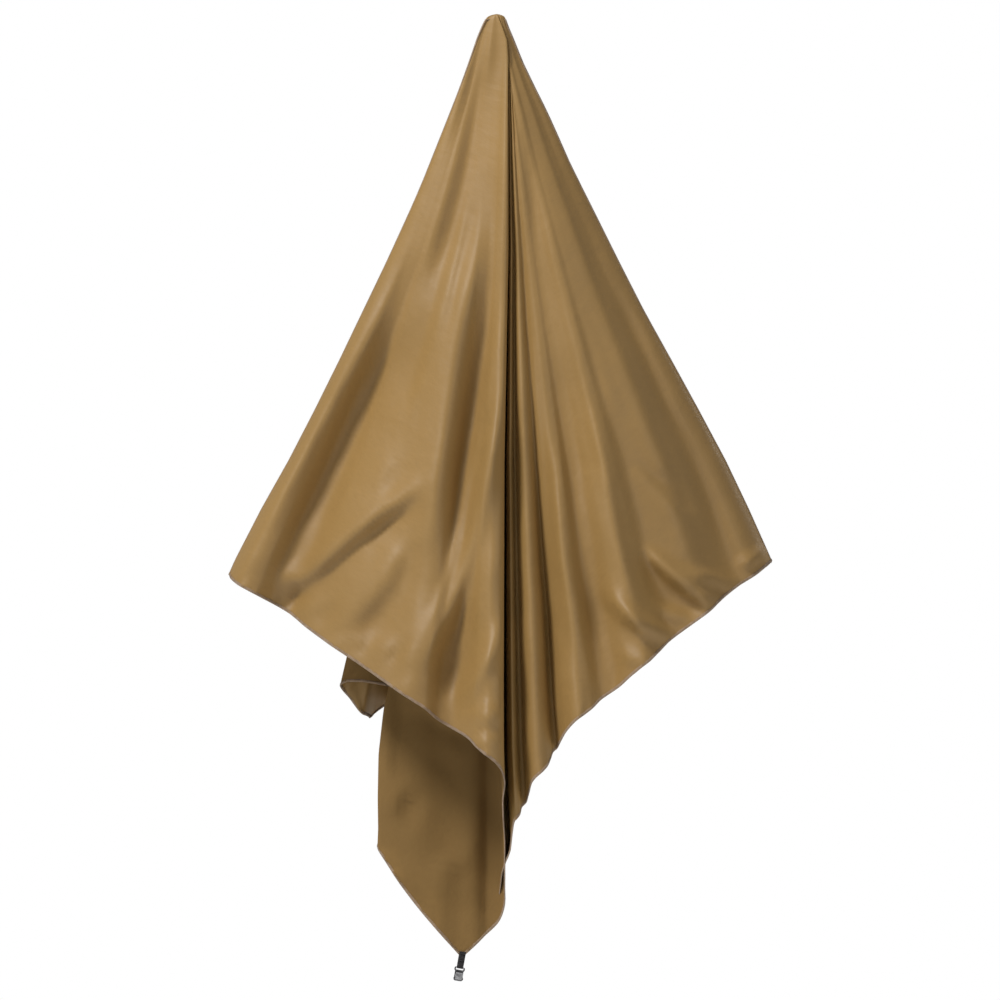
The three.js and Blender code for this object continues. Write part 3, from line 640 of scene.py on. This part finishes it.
# The front panels' waves are smoothed away above the first drop and whole below the second. Each panel is
# its first and last degree along the cloth, and the one at the centre fold, where the smoothing fades.
SOFT_DROPS = (0.22, 0.85)
SOFT_PANELS = ((0, 36.5, 36.5), (143.0, 180, 143.0))
SOFT_WIDTH, SOFT_FADE = 3.2, 5.0  # degrees
CORNER_X = -0.0532  # the taped corner, across
CORNER_TWIST = 0.17  # how much lower the corner piece hangs for each metre to the right
# How far the corner piece's folded side is moved across, at each drop.
CORNER_SIDE = ((0.85, 1.06, 1.13, 1.2, 1.25, 1.3), (0, -0.012, -0.009, 0, 0.008, 0.013))
# Swells of slack: how fast they vary with u and with the drop, their size, seed and depth.
SLACK = ((1.2, 0.35, 0.09, 11, 0.0034), (1.0, 0.6, 0.04, 5, 0.0014))
# Puckers of the lower edge: the shares of the way down where they start and are whole, size, seed, depth.
PUCKERS = ((0.93, 1.0, 0.055, 21, 0.0022), (0.962, 0.995, 0.024, 8, 0.0015))
TOP_ROWS = (0, 0.0007, 0.002, 0.0042, 0.0065, 0.009, 0.0125, 0.018, 0.025, 0.034, 0.045, 0.058, 0.073, 0.09)
HEM_ROWS = (0.978, 0.986, 0.993, 0.9975, 1.0)


class Cloth:
    """Points of the hung cloth: rows go down from the hanging point, columns along the cloth."""

    def __init__(self, sizes):
        half, width = sizes.cloth_length / 2, sizes.cloth_width
        self.corner = math.atan2(width, half)
        rays, angles = solve_rays(self.corner)

        def reach_at(angle):
            side = half / np.maximum(abs(np.cos(angle)), 1e-9)
            return np.minimum(side, width / np.maximum(np.sin(angle), 1e-9))

        self.angle = pick_columns(rays, angles, reach_at(angles), self.corner, sizes.columns)
        ray = unit(np.column_stack([np.interp(self.angle, angles, rays[:, k]) for k in range(3)]))
        self.reach = reach_at(self.angle)
        middle = np.concatenate([np.linspace(0.11, 0.58, 19)[:-1], np.linspace(0.58, 0.97, 48)])
        share = np.concatenate([TOP_ROWS, middle, HEM_ROWS])[:, None]
        self.share = share
        run = share * self.reach[None, :]
        self.flat = np.dstack([half + run * np.cos(self.angle), run * np.sin(self.angle)])
        u, v = ray[:, 0] / -ray[:, 2], ray[:, 1] / -ray[:, 2]
        drop = run * -ray[:, 2]
        # The front panels' waves are softer towards the top.
        v = v + (self.softened(v) - v) * (1 - smoothstep(*SOFT_DROPS, drop))
        self.points = self.settle(u[None, :], v, drop)
        self.normals = self.off()

    def softened(self, v):
        """The fold line's depths with the front panels' waves smoothed away, and the rest as it is."""
        degrees = np.degrees(self.angle)
        soft = v.copy()
        for low, high, border in SOFT_PANELS:
            inside = (degrees >= low) & (degrees <= high)
            place, depth = degrees[inside], v[inside]
            gap = place[:, None] - place[None, :]
            weight = np.exp(-((gap / SOFT_WIDTH) ** 2)) * np.gradient(place)[None, :]
            line = (weight * depth).sum(1) / weight.sum(1)
            soft[inside] = depth + (line - depth) * smoothstep(0, SOFT_FADE, abs(place - border))
        return soft

    def settle(self, u, v, drop):
        """Places the cone's points where the real cloth hangs."""
        share = self.share
        degrees = np.degrees(self.angle[None, :])
        # The loose fold at the left, the hidden corner and parts of the hems ride up.
        drop = drop * (1 - np.interp(degrees, *LIFT) * smoothstep(0.5, 1.0, share))
        left = np.interp(drop, REACH[:, 0], REACH[:, 1]) / FOLD_LEFT
        right = np.interp(drop, REACH[:, 0], REACH[:, 2]) / FOLD_RIGHT
        blend = smoothstep(-0.12, 0.12, u)
        x = u * (left * (1 - blend) + right * blend)
        y = v * (left + right) / 2
        # The folds at the middle hang nearly upright, a little to the right of the hanging point.
        x = x + np.interp(drop, *UPRIGHT) * np.exp(-(((u - 0.03) / 0.11) ** 2))
        # The corner piece hangs twisted, and its folded side is upright.
        corner = smoothstep(42.0, 46.5, degrees) * (1 - smoothstep(58.0, 62.0, degrees))
        tip = np.exp(-(((degrees - 55.6) / 2.6) ** 2))
        x = x + tip * np.interp(drop, *CORNER_SIDE)
        drop = drop + CORNER_TWIST * (x - CORNER_X) * corner * smoothstep(0.55, 1.0, share)
        # Nothing behind it shows to its right.
        behind = smoothstep(60.0, 66.0, degrees) * (1 - smoothstep(136.0, 141.0, degrees))
        limit = np.interp(drop, *BEHIND)
        held = limit - 0.006 * np.logaddexp(0, (limit - x) / 0.006)
        x = x + (held - x) * behind * smoothstep(1.08, 1.16, drop)
        front = 1 - smoothstep(FRONT_LEFT - 1, FRONT_LEFT + 5, degrees) * (
            1 - smoothstep(FRONT_RIGHT - 5, FRONT_RIGHT + 1, degrees))
        y = y - front * wrinkle_heights(BANDS, x, drop) - corner * wrinkle_heights(CORNER_BANDS, x, drop)
        # Pleats gather towards the top.
        gather = np.exp(-drop / 0.13) * smoothstep(0.01, 0.05, drop)
        y = y - front * 0.0007 * gather * swells(u, 0 * u, 0.11, 5, 3)
        # Slack: soft swells that are longer down the cloth than across it.
        slack = sum(swells(u * a, drop * b, size, 9, seed) * deep for a, b, size, seed, deep in SLACK)
        y = y + slack * smoothstep(0.1, 0.5, drop) * (1 - 0.72 * front)
        # The lower edge puckers, since the seam is a little shorter than the cloth.
        edge = self.flat[..., 0] + self.flat[..., 1]
        puckers = sum(smoothstep(start, whole, share) * swells(edge, 0 * edge, size, 7, seed) * deep
                      for start, whole, size, seed, deep in PUCKERS)
        y = y + puckers * smoothstep(0.2, 0.5, drop)
        return np.dstack([x, y, -drop])

    def off(self):
        """Normals on the sheened side."""
        down = np.gradient(self.points, axis=0)
        along = np.gradient(self.points, axis=1)
        return unit(np.cross(down, along))

    def edge(self, name):
        """Points, outward directions and normals along one edge of the cloth."""
        p, n = self.points, self.normals
        out = unit(p[-1] - p[-3])
        if name == "top":
            keep = slice(5, None)
            sides = []
            for column, inner in ((0, 3), (-1, -4)):
                outward = unit(p[keep, column] - p[keep, inner])
                sides.append((p[keep, column], outward, n[keep, column]))
            (pl, ol, nl), (pr, or_, nr) = sides
            return [np.vstack([a[::-1], b]) for a, b in ((pl, pr), (ol, or_), (nl, nr))]
        low, high = {
            "left": (0, self.corner),
            "bottom": (self.corner, math.pi - self.corner),
            "right": (math.pi - self.corner, math.pi),
        }[name]
        keep = (self.angle >= low - 1e-9) & (self.angle <= high + 1e-9)
        along = unit(np.gradient(p[-1][keep], axis=0))
        outward = out[keep] - along * (out[keep] * along).sum(1, keepdims=True)
        return [p[-1][keep], unit(outward), n[-1][keep]]


def shell(name, cloth, thickness, materials):
    """The cloth as a closed skin, with the sheened side's material first."""
    rows, columns = cloth.points.shape[:2]
    taper = np.clip(-cloth.points[..., 2] / 0.25, 0.08, 1)[..., None]
    offset = cloth.normals * taper * thickness / 2
    offset[0] = (0, 0, thickness * 0.04)
    # The first row is one point.
    layers = [(cloth.points + side * offset).reshape(-1, 3)[columns - 1:] for side in (1, -1)]
    count = len(layers[0])
    index = np.maximum(np.arange(rows * columns) - (columns - 1), 0).reshape(rows, columns)
    a, b, c, d = (index[:-1, :-1], index[1:, :-1], index[1:, 1:], index[:-1, 1:])
    near = np.stack([a, b, c, d], -1).reshape(-1, 4)
    far = near[:, [0, 3, 2, 1]] + count
    ring = np.concatenate([index[0, :1], index[1:, -1], index[-1, -2::-1], index[-2:0:-1, 0]])
    other = np.roll(ring, -1)
    rim = np.stack([ring, other, other + count, ring + count], -1)
    faces = [list(dict.fromkeys(face)) for face in np.concatenate([near, far, rim]).tolist()]
    piece = piece_from(name, np.concatenate(layers), faces, materials)
    mesh = piece.data
    slots = np.concatenate([np.zeros(len(near), int), np.ones(len(far), int), np.ones(len(rim), int)])
    mesh.polygons.foreach_set("material_index", slots)
    flat = np.tile(cloth.flat.reshape(-1, 2)[columns - 1:], (2, 1))
    layer = mesh.uv_layers.new(name="flat")
    corners = np.zeros(len(mesh.loops), int)
    mesh.loops.foreach_get("vertex_index", corners)
    layer.data.foreach_set("uv", flat[corners].ravel())
    return piece


# ---- stitched edges --------------------------------------------------------------------------------


def resampled(path, step):
    """Edge points, outward directions and normals at even steps."""
    points, outward, normals = path
    length = np.concatenate([[0], np.cumsum(np.linalg.norm(np.diff(points, axis=0), axis=1))])
    places = np.linspace(0, length[-1], max(2, int(length[-1] / step)))
    take = [np.column_stack([np.interp(places, length, a[:, k]) for k in range(3)])
            for a in (points, outward, normals)]
    return take[0], unit(take[1]), unit(take[2])


# The seam's section: shares of the seam's width inwards, and of the thread's thickness off the cloth.
SEAM_SECTION = [
    (1.0, 0.35), (0.75, 0.95), (0.35, 1.0), (0.0, 0.9), (-0.2, 0.4),
    (-0.2, -0.4), (0.0, -0.9), (0.35, -1.0), (0.75, -0.95), (1.0, -0.35),
]


def swept(name, path, section, materials):
    """A closed bar that follows a path. Each section point is (inward, off) in metres."""
    points, outward, normals = path
    rings = [points - outward * inward + normals * off for inward, off in section]
    count, sides = len(points), len(section)
    stacked = np.stack(rings, 1).reshape(-1, 3)
    faces = []
    for i in range(count - 1):
        for k in range(sides):
            j = (k + 1) % sides
            faces.append((i * sides + k, i * sides + j, (i + 1) * sides + j, (i + 1) * sides + k))
    faces.append(tuple(range(sides - 1, -1, -1)))
    faces.append(tuple((count - 1) * sides + k for k in range(sides)))
    piece = piece_from(name, stacked, faces, materials)
    outward_faces(piece)
    return piece


def outward_faces(piece):
    made = bmesh.new()
    made.from_mesh(piece.data)
    bmesh.ops.recalc_face_normals(made, faces=made.faces)
    made.to_mesh(piece.data)
    made.free()


def thread_bar(name, path, radius, sides, material):
    """A bent thread through the points of a path, round in section, closed at its ends."""
    path = np.array(path, float)
    along = unit(np.gradient(path, axis=0))
    guide = np.array([1.0, 0.0, 0.0]) if abs(along[0][0]) < 0.9 else np.array([0.0, 1.0, 0.0])
    first = unit(np.cross(along, guide))
    second = np.cross(along, first)
    section = [(radius * math.cos(a), radius * math.sin(a)) for a in np.arange(sides) * 2 * math.pi / sides]
    return swept(name, (path, first, second), section, [material])


def stitch_tree():
    """Geometry Nodes: copies of a stitch along a path, each turned to the path and to its facing."""
    tree = bpy.data.node_groups.new("stitch_row", "GeometryNodeTree")
    face = tree.interface
    face.new_socket("Path", in_out="INPUT", socket_type="NodeSocketGeometry")
    face.new_socket("Stitch", in_out="INPUT", socket_type="NodeSocketObject")
    for name, value in (("Pitch", 0.003), ("Looseness", 0.12)):
        face.new_socket(name, in_out="INPUT", socket_type="NodeSocketFloat").default_value = value
    face.new_socket("Seed", in_out="INPUT", socket_type="NodeSocketInt").default_value = 4
    face.new_socket("Thread", in_out="INPUT", socket_type="NodeSocketMaterial")
    face.new_socket("Row", in_out="OUTPUT", socket_type="NodeSocketGeometry")

    def add(kind, settings=None, inputs=None):
        return add_node(tree, kind, settings, inputs)

    source = add("NodeGroupInput").outputs
    curve = add("GeometryNodeMeshToCurve", None, {"Mesh": source["Path"]})
    even = add("GeometryNodeResampleCurve", {"mode": "LENGTH"},
               {"Curve": curve.outputs[0], "Length": source["Pitch"]})
    facing = add("GeometryNodeInputNamedAttribute", {"data_type": "FLOAT_VECTOR"}, {"Name": "facing"})
    tangent = add("GeometryNodeInputTangent")
    along = add("FunctionNodeAlignRotationToVector", {"axis": "X"}, {"Vector": tangent.outputs[0]})
    turned = add("FunctionNodeAlignRotationToVector", {"axis": "Z", "pivot_axis": "X"},
                 {"Rotation": along.outputs[0], "Vector": facing.outputs["Attribute"]})
    lower = add("ShaderNodeMath", {"operation": "MULTIPLY"}, {0: source["Looseness"], 1: -1.0})
    loose = add("FunctionNodeRandomValue", {"data_type": "FLOAT"},
                {"Seed": source["Seed"], 2: lower.outputs[0], 3: source["Looseness"]})
    tilt = add("ShaderNodeCombineXYZ", None, {"Z": loose.outputs[1]})
    euler = add("FunctionNodeEulerToRotation", None, {"Euler": tilt.outputs[0]})
    rotation = add("FunctionNodeRotateRotation", {"rotation_space": "LOCAL"},
                   {"Rotation": turned.outputs[0], "Rotate By": euler.outputs[0]})
    stitch = add("GeometryNodeObjectInfo", {"transform_space": "ORIGINAL"},
                 {"Object": source["Stitch"], "As Instance": True})
    copies = add("GeometryNodeInstanceOnPoints", None, {
        "Points": even.outputs[0], "Instance": stitch.outputs["Geometry"], "Rotation": rotation.outputs[0]})
    real = add("GeometryNodeRealizeInstances", None, {"Geometry": copies.outputs[0]})
    dressed = add("GeometryNodeSetMaterial", None,
                  {"Geometry": real.outputs[0], "Material": source["Thread"]})
    add("NodeGroupOutput", None, {0: dressed.outputs[0]})
    return tree


def stitched(name, paths, stitch, pitch, looseness, seed, material, tree):
    """A plain mesh of stitches along paths of points with facings."""
    points = np.vstack([p for p, _ in paths])
    facing = np.vstack([f for _, f in paths])
    edges, start = [], 0
    for p, _ in paths:
        edges += [(start + i, start + i + 1) for i in range(len(p) - 1)]
        start += len(p)
    mesh = bpy.data.meshes.new(name + "_path")
    mesh.from_pydata([tuple(p) for p in points], edges, [])
    mesh.attributes.new("facing", "FLOAT_VECTOR", "POINT").data.foreach_set("vector", facing.ravel())
    carrier = bpy.data.objects.new(name + "_path", mesh)
    bpy.context.scene.collection.objects.link(carrier)
    row = carrier.modifiers.new("stitch_row", "NODES")
    row.node_group = tree
    values = {"Stitch": stitch, "Pitch": pitch, "Looseness": looseness, "Seed": seed, "Thread": material}
    for socket in tree.interface.items_tree:
        if socket.in_out == "INPUT" and socket.name in values:
            row[socket.identifier] = values[socket.name]
    ready = carrier.evaluated_get(bpy.context.evaluated_depsgraph_get())
    made = bpy.data.meshes.new_from_object(ready)
    made.name = name
    if not made.polygons:
        raise RuntimeError(name + " has no stitches")
    carrier.modifiers.clear()
    bpy.data.objects.remove(carrier)
    made.polygons.foreach_set("use_smooth", np.full(len(made.polygons), True))
    piece = bpy.data.objects.new(name, made)
    bpy.context.scene.collection.objects.link(piece)
    if not made.materials:
        made.materials.append(material)
    return piece


SHARED = {}  # what one operator makes and another uses


def cloth_parts():
    """The hung cloth's points and its thread, made once."""
    if "cloth" not in SHARED:
        sizes = bpy.context.scene.wrap_sizes
        SHARED["cloth"] = Cloth(sizes)
        SHARED["thread"] = thread_look("overlock_thread", sizes.thread_color)
        SHARED["tree"] = stitch_tree()
    return SHARED["cloth"], SHARED["thread"], SHARED["tree"]


class WRAP_OT_overlock(bpy.types.Operator):
    """Makes the overlocked seam along each of the cloth's four edges"""

    bl_idname = "wrap.overlock"
    bl_label = "Overlocked edges"

    def execute(self, context):
        sizes = context.scene.wrap_sizes
        cloth, thread, tree = cloth_parts()
        thick = sizes.thickness / 2 + 0.00035
        section = [(a * sizes.seam_width, b * thick) for a, b in SEAM_SECTION]
        wide = sizes.seam_width * 1.06
        over = thick + 0.00012
        lean = sizes.stitch_pitch * 0.42
        # One stitch goes from the seam's inner line on one face, round the edge, to the other face.
        turns = [(wide, over * 0.75), (wide * 0.55, over), (0.0002, over), (-sizes.seam_width * 0.27, 0.0),
                 (0.0002, -over), (wide * 0.55, -over), (wide, -over * 0.75)]
        slants = np.linspace(-lean, lean, len(turns))
        loop = [(s, -inward, off) for s, (inward, off) in zip(slants, turns)]
        stitch = thread_bar("one_stitch", loop, 0.00036, 5, thread)
        SHARED["seams"] = []
        for number, name in enumerate(("top", "left", "right", "bottom")):
            path = resampled(cloth.edge(name), 0.0045)
            seam = swept("overlock_" + name, path, section, [thread])
            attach(seam, "cloth")
            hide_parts("overlock_" + name)
            points, outward, normals = path
            # The stitch's y runs outwards: facing is its z, so the path's direction must agree.
            along = unit(np.gradient(points, axis=0))
            turned = (np.cross(normals, along) * outward).sum() < 0
            order = slice(None, None, -1) if turned else slice(None)
            rows = stitched("overlock_" + name + "_stitches", [(points[order], normals[order])], stitch,
                            sizes.stitch_pitch, 0.10, 5 + number, thread, tree)
            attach(rows, "cloth")
            SHARED["seams"] += [seam, rows]
        bpy.data.objects.remove(stitch)
        return {"FINISHED"}


class WRAP_OT_cloth(bpy.types.Operator):
    """Makes the hung cloth"""

    bl_idname = "wrap.cloth"
    bl_label = "Cloth"

    def execute(self, context):
        sizes = context.scene.wrap_sizes
        cloth, _, _ = cloth_parts()
        face = knit_look("knit_face", sizes.face_color, True)
        reverse = knit_look("knit_reverse", sizes.reverse_color, False)
        panel = shell("cloth_panel_knit", cloth, sizes.thickness, [face, reverse])
        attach(panel, "cloth")
        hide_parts("cloth_panel")
        return {"FINISHED"}


# ---- tape and clip ---------------------------------------------------------------------------------


def hang_axes():
    """The clip's own directions at rest: across, off the cloth and up, from the record's joint and mount."""
    swing = next(j for j in frame["joints"] if j["name"] == "clip_swing")
    back = next(m for m in frame["record"]["mounts"] if m["name"] == "clip_back")
    across, off = Vector(swing["axis"]).normalized(), Vector(back["axis"]).normalized()
    return Vector(swing["pos_m"]), across, off, across.cross(off).normalized()


def rounded_copy(name, node, material, width, body):
    """A copy of a CAD node with its edges rounded."""
    made = bmesh.new()
    made.from_mesh(frame["nodes"][node].data)
    bmesh.ops.remove_doubles(made, verts=made.verts, dist=1e-6)
    bmesh.ops.dissolve_limit(made, angle_limit=0.01, verts=made.verts, edges=made.edges)
    bmesh.ops.recalc_face_normals(made, faces=made.faces)
    mesh = bpy.data.meshes.new(name)
    made.to_mesh(mesh)
    made.free()
    mesh.materials.clear()
    mesh.materials.append(material)
    piece = bpy.data.objects.new(name, mesh)
    bpy.context.scene.collection.objects.link(piece)
    bevel = piece.modifiers.new("edges", "BEVEL")
    bevel.width, bevel.segments, bevel.limit_method = width, 2, "ANGLE"
    bevel.angle_limit = math.radians(32)
    ready = piece.evaluated_get(bpy.context.evaluated_depsgraph_get())
    finished = bpy.data.meshes.new_from_object(ready)
    piece.modifiers.clear()
    piece.data = finished
    finished.name = name
    finished.polygons.foreach_set("use_smooth", np.full(len(finished.polygons), True))
    finished.set_sharp_from_angle(angle=math.radians(35))
    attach(piece, body)
    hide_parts(node)
    return piece


TACK_WIDTH = 0.0066
STRAND = [(0.00012, 0.0, -0.0009), (0.0, 0.0, 0.0), (-0.00012, 0.0, 0.0009)]
STRAND_RADIUS = 0.00024


class WRAP_OT_tape(bpy.types.Operator):
    """Makes the tape loop and its two bar tacks"""

    bl_idname = "wrap.tape"
    bl_label = "Tape loop and bar tacks"

    def execute(self, context):
        sizes = context.scene.trim_sizes
        _, _, tree = cloth_parts()
        bar, across, off, up = hang_axes()
        basis = Matrix((across, off, up)).transposed()
        turn = basis.inverted().to_euler()
        tape_weave = tape_look(sizes.tape_color, turn)
        rounded_copy("tape_loop", "webbing_loop", tape_weave, 0.00018, "cloth")
        black = thread_look("tack_thread", scaled(sizes.tape_color, 1.6))
        strand = thread_bar("one_strand", STRAND, STRAND_RADIUS, 5, black)
        for node in ("corner_bartack", "loop_bartack"):
            tack = frame["nodes"][node]
            corners = [tack.matrix_world @ v.co - bar for v in tack.data.vertices]
            heights = [corner.dot(up) for corner in corners]
            height = (min(heights) + max(heights)) / 2
            depths = [corner.dot(off) for corner in corners]
            paths = []
            for depth in (min(depths), max(depths)):
                start = bar + up * height + off * depth - across * (TACK_WIDTH / 2)
                line = np.array([start + across * TACK_WIDTH * t for t in np.linspace(0, 1, 5)])
                paths.append((line, np.array([list(up)] * 5)))
            rows = stitched(node + "_threads", paths, strand, sizes.tack_pitch, 0.2, 9, black, tree)
            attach(rows, "cloth")
            tack.data.materials[0] = black
        bpy.data.objects.remove(strand)
        return {"FINISHED"}


class WRAP_OT_clip(bpy.types.Operator):
    """Finishes the clip's body, lever and pin"""

    bl_idname = "wrap.clip"
    bl_label = "Clip"

    def execute(self, context):
        sizes = context.scene.trim_sizes
        _, across, off, up = hang_axes()
        turn = Matrix((across, off, up)).transposed().inverted().to_euler()
        dark = metal_look("plated_steel", sizes.body_color, 0.32, 0.5, turn)
        pale = metal_look("lever_steel", sizes.lever_color, 0.26, 0.42, turn)
        rounded_copy("clip_body_plated", "clip_body", dark, sizes.edge_round, "clip")
        rounded_copy("clip_pin_plated", "clip_pin", dark, sizes.edge_round * 0.5, "clip")
        rounded_copy("clip_lever_steel", "clip_lever", pale, sizes.edge_round, "lever")
        return {"FINISHED"}


# ---- stage -----------------------------------------------------------------------------------------


MIDDLE = (0.0, 0.0, -0.7)  # what the lights point at
LIGHTS = (  # name, place, size, which power, and the share of it
    ("key", (-2.5, -2.5, 3.0), 1.2, "key_power", 1.0),
    ("fill", (3.6, -3.0, -0.2), 2.2, "fill_power", 1.0),
    ("rear", (1.2, 3.8, 1.2), 2.4, "fill_power", 2.2),
)
SENSOR = 36.0  # millimetres
VIEW_X, VIEW_Z = 0.0045, -0.729
FLOOR_RADIUS, FLOOR_SIDES = 4.4, 96


def area_light(name, place, target, size, power):
    light = bpy.data.lights.new(name, "AREA")
    light.shape, light.size, light.energy = "DISK", size, power
    lamp = bpy.data.objects.new(name, light)
    lamp.location = place
    lamp.rotation_euler = (Vector(target) - Vector(place)).to_track_quat("-Z", "Y").to_euler()
    bpy.context.scene.collection.objects.link(lamp)
    return lamp


class WRAP_OT_stage(bpy.types.Operator):
    """Makes the floor, the lights and the camera"""

    bl_idname = "wrap.stage"
    bl_label = "Stage"

    def execute(self, context):
        sizes = context.scene.stage_sizes
        scene = context.scene
        look = Look("pale_floor", Roughness=0.8, Specular_IOR_Level=0.2)
        tone = look.ramp(look.noise(look.objects(), 1.4, 2.0), 0.3, 0.7)
        look.feed("Base Color", look.mix(tone, (0.86, 0.86, 0.855), (0.88, 0.88, 0.875)))
        rim = [(FLOOR_RADIUS * math.cos(a), FLOOR_RADIUS * math.sin(a), -sizes.floor_drop)
               for a in np.arange(FLOOR_SIDES) * 2 * math.pi / FLOOR_SIDES]
        floor = piece_from("floor", rim, [tuple(range(FLOOR_SIDES))], [look.material], smooth=False)

        world = bpy.data.worlds.new("studio")
        scene.world = world
        world.use_nodes = True
        tree = world.node_tree
        seen = add_node(tree, "ShaderNodeBackground", None, {0: (1, 1, 1, 1), 1: 1.0})
        light = tree.nodes["Background"]
        light.inputs[0].default_value, light.inputs[1].default_value = (1, 1, 1, 1), sizes.ambient
        path = add_node(tree, "ShaderNodeLightPath")
        mix = add_node(tree, "ShaderNodeMixShader", None, {
            0: path.outputs["Is Camera Ray"], 1: light.outputs[0], 2: seen.outputs[0]})
        tree.links.new(mix.outputs[0], tree.nodes["World Output"].inputs[0])

        for name, place, size, power, share in LIGHTS:
            area_light(name, place, MIDDLE, size, getattr(sizes, power) * share)

        camera = bpy.data.cameras.new("camera")
        camera.lens, camera.sensor_width = sizes.lens, SENSOR
        camera.clip_end = 60.0
        view = bpy.data.objects.new("camera", camera)
        view.location = (VIEW_X, -sizes.view_width * sizes.lens / SENSOR, VIEW_Z)
        view.rotation_euler = (math.pi / 2, 0.0, 0.0)
        scene.collection.objects.link(view)
        scene.camera = view
        scene.view_settings.view_transform = "Standard"
        return {"FINISHED"}


# ---- panel and registration ------------------------------------------------------------------------

OPERATORS = (WRAP_OT_overlock, WRAP_OT_cloth, WRAP_OT_tape, WRAP_OT_clip, WRAP_OT_stage)


class WRAP_PT_panel(bpy.types.Panel):
    """Lists the wrap's sizes and its operators"""

    bl_idname = "WRAP_PT_panel"
    bl_label = "Field wrap"
    bl_space_type = "VIEW_3D"
    bl_region_type = "UI"
    bl_category = "Field wrap"

    def draw(self, context):
        scene = context.scene
        for group in (scene.wrap_sizes, scene.trim_sizes, scene.stage_sizes):
            box = self.layout.box()
            for name in group.bl_rna.properties.keys():
                if name not in {"rna_type", "name"}:
                    box.prop(group, name)
        for operator in OPERATORS:
            self.layout.operator(operator.bl_idname)


GROUPS = (("wrap_sizes", WrapSizes), ("trim_sizes", TrimSizes), ("stage_sizes", StageSizes))


def register():
    for name, group in GROUPS:
        bpy.utils.register_class(group)
        setattr(bpy.types.Scene, name, bpy.props.PointerProperty(type=group))
    for cls in (*OPERATORS, WRAP_PT_panel):
        bpy.utils.register_class(cls)


def unregister():
    for cls in (WRAP_PT_panel, *reversed(OPERATORS)):
        bpy.utils.unregister_class(cls)
    for name, group in reversed(GROUPS):
        delattr(bpy.types.Scene, name)
        bpy.utils.unregister_class(group)


def main():
    register()
    for step in (bpy.ops.wrap.overlock, bpy.ops.wrap.cloth, bpy.ops.wrap.tape, bpy.ops.wrap.clip,
                 bpy.ops.wrap.stage):
        step()


if __name__ == "__main__":
    main()
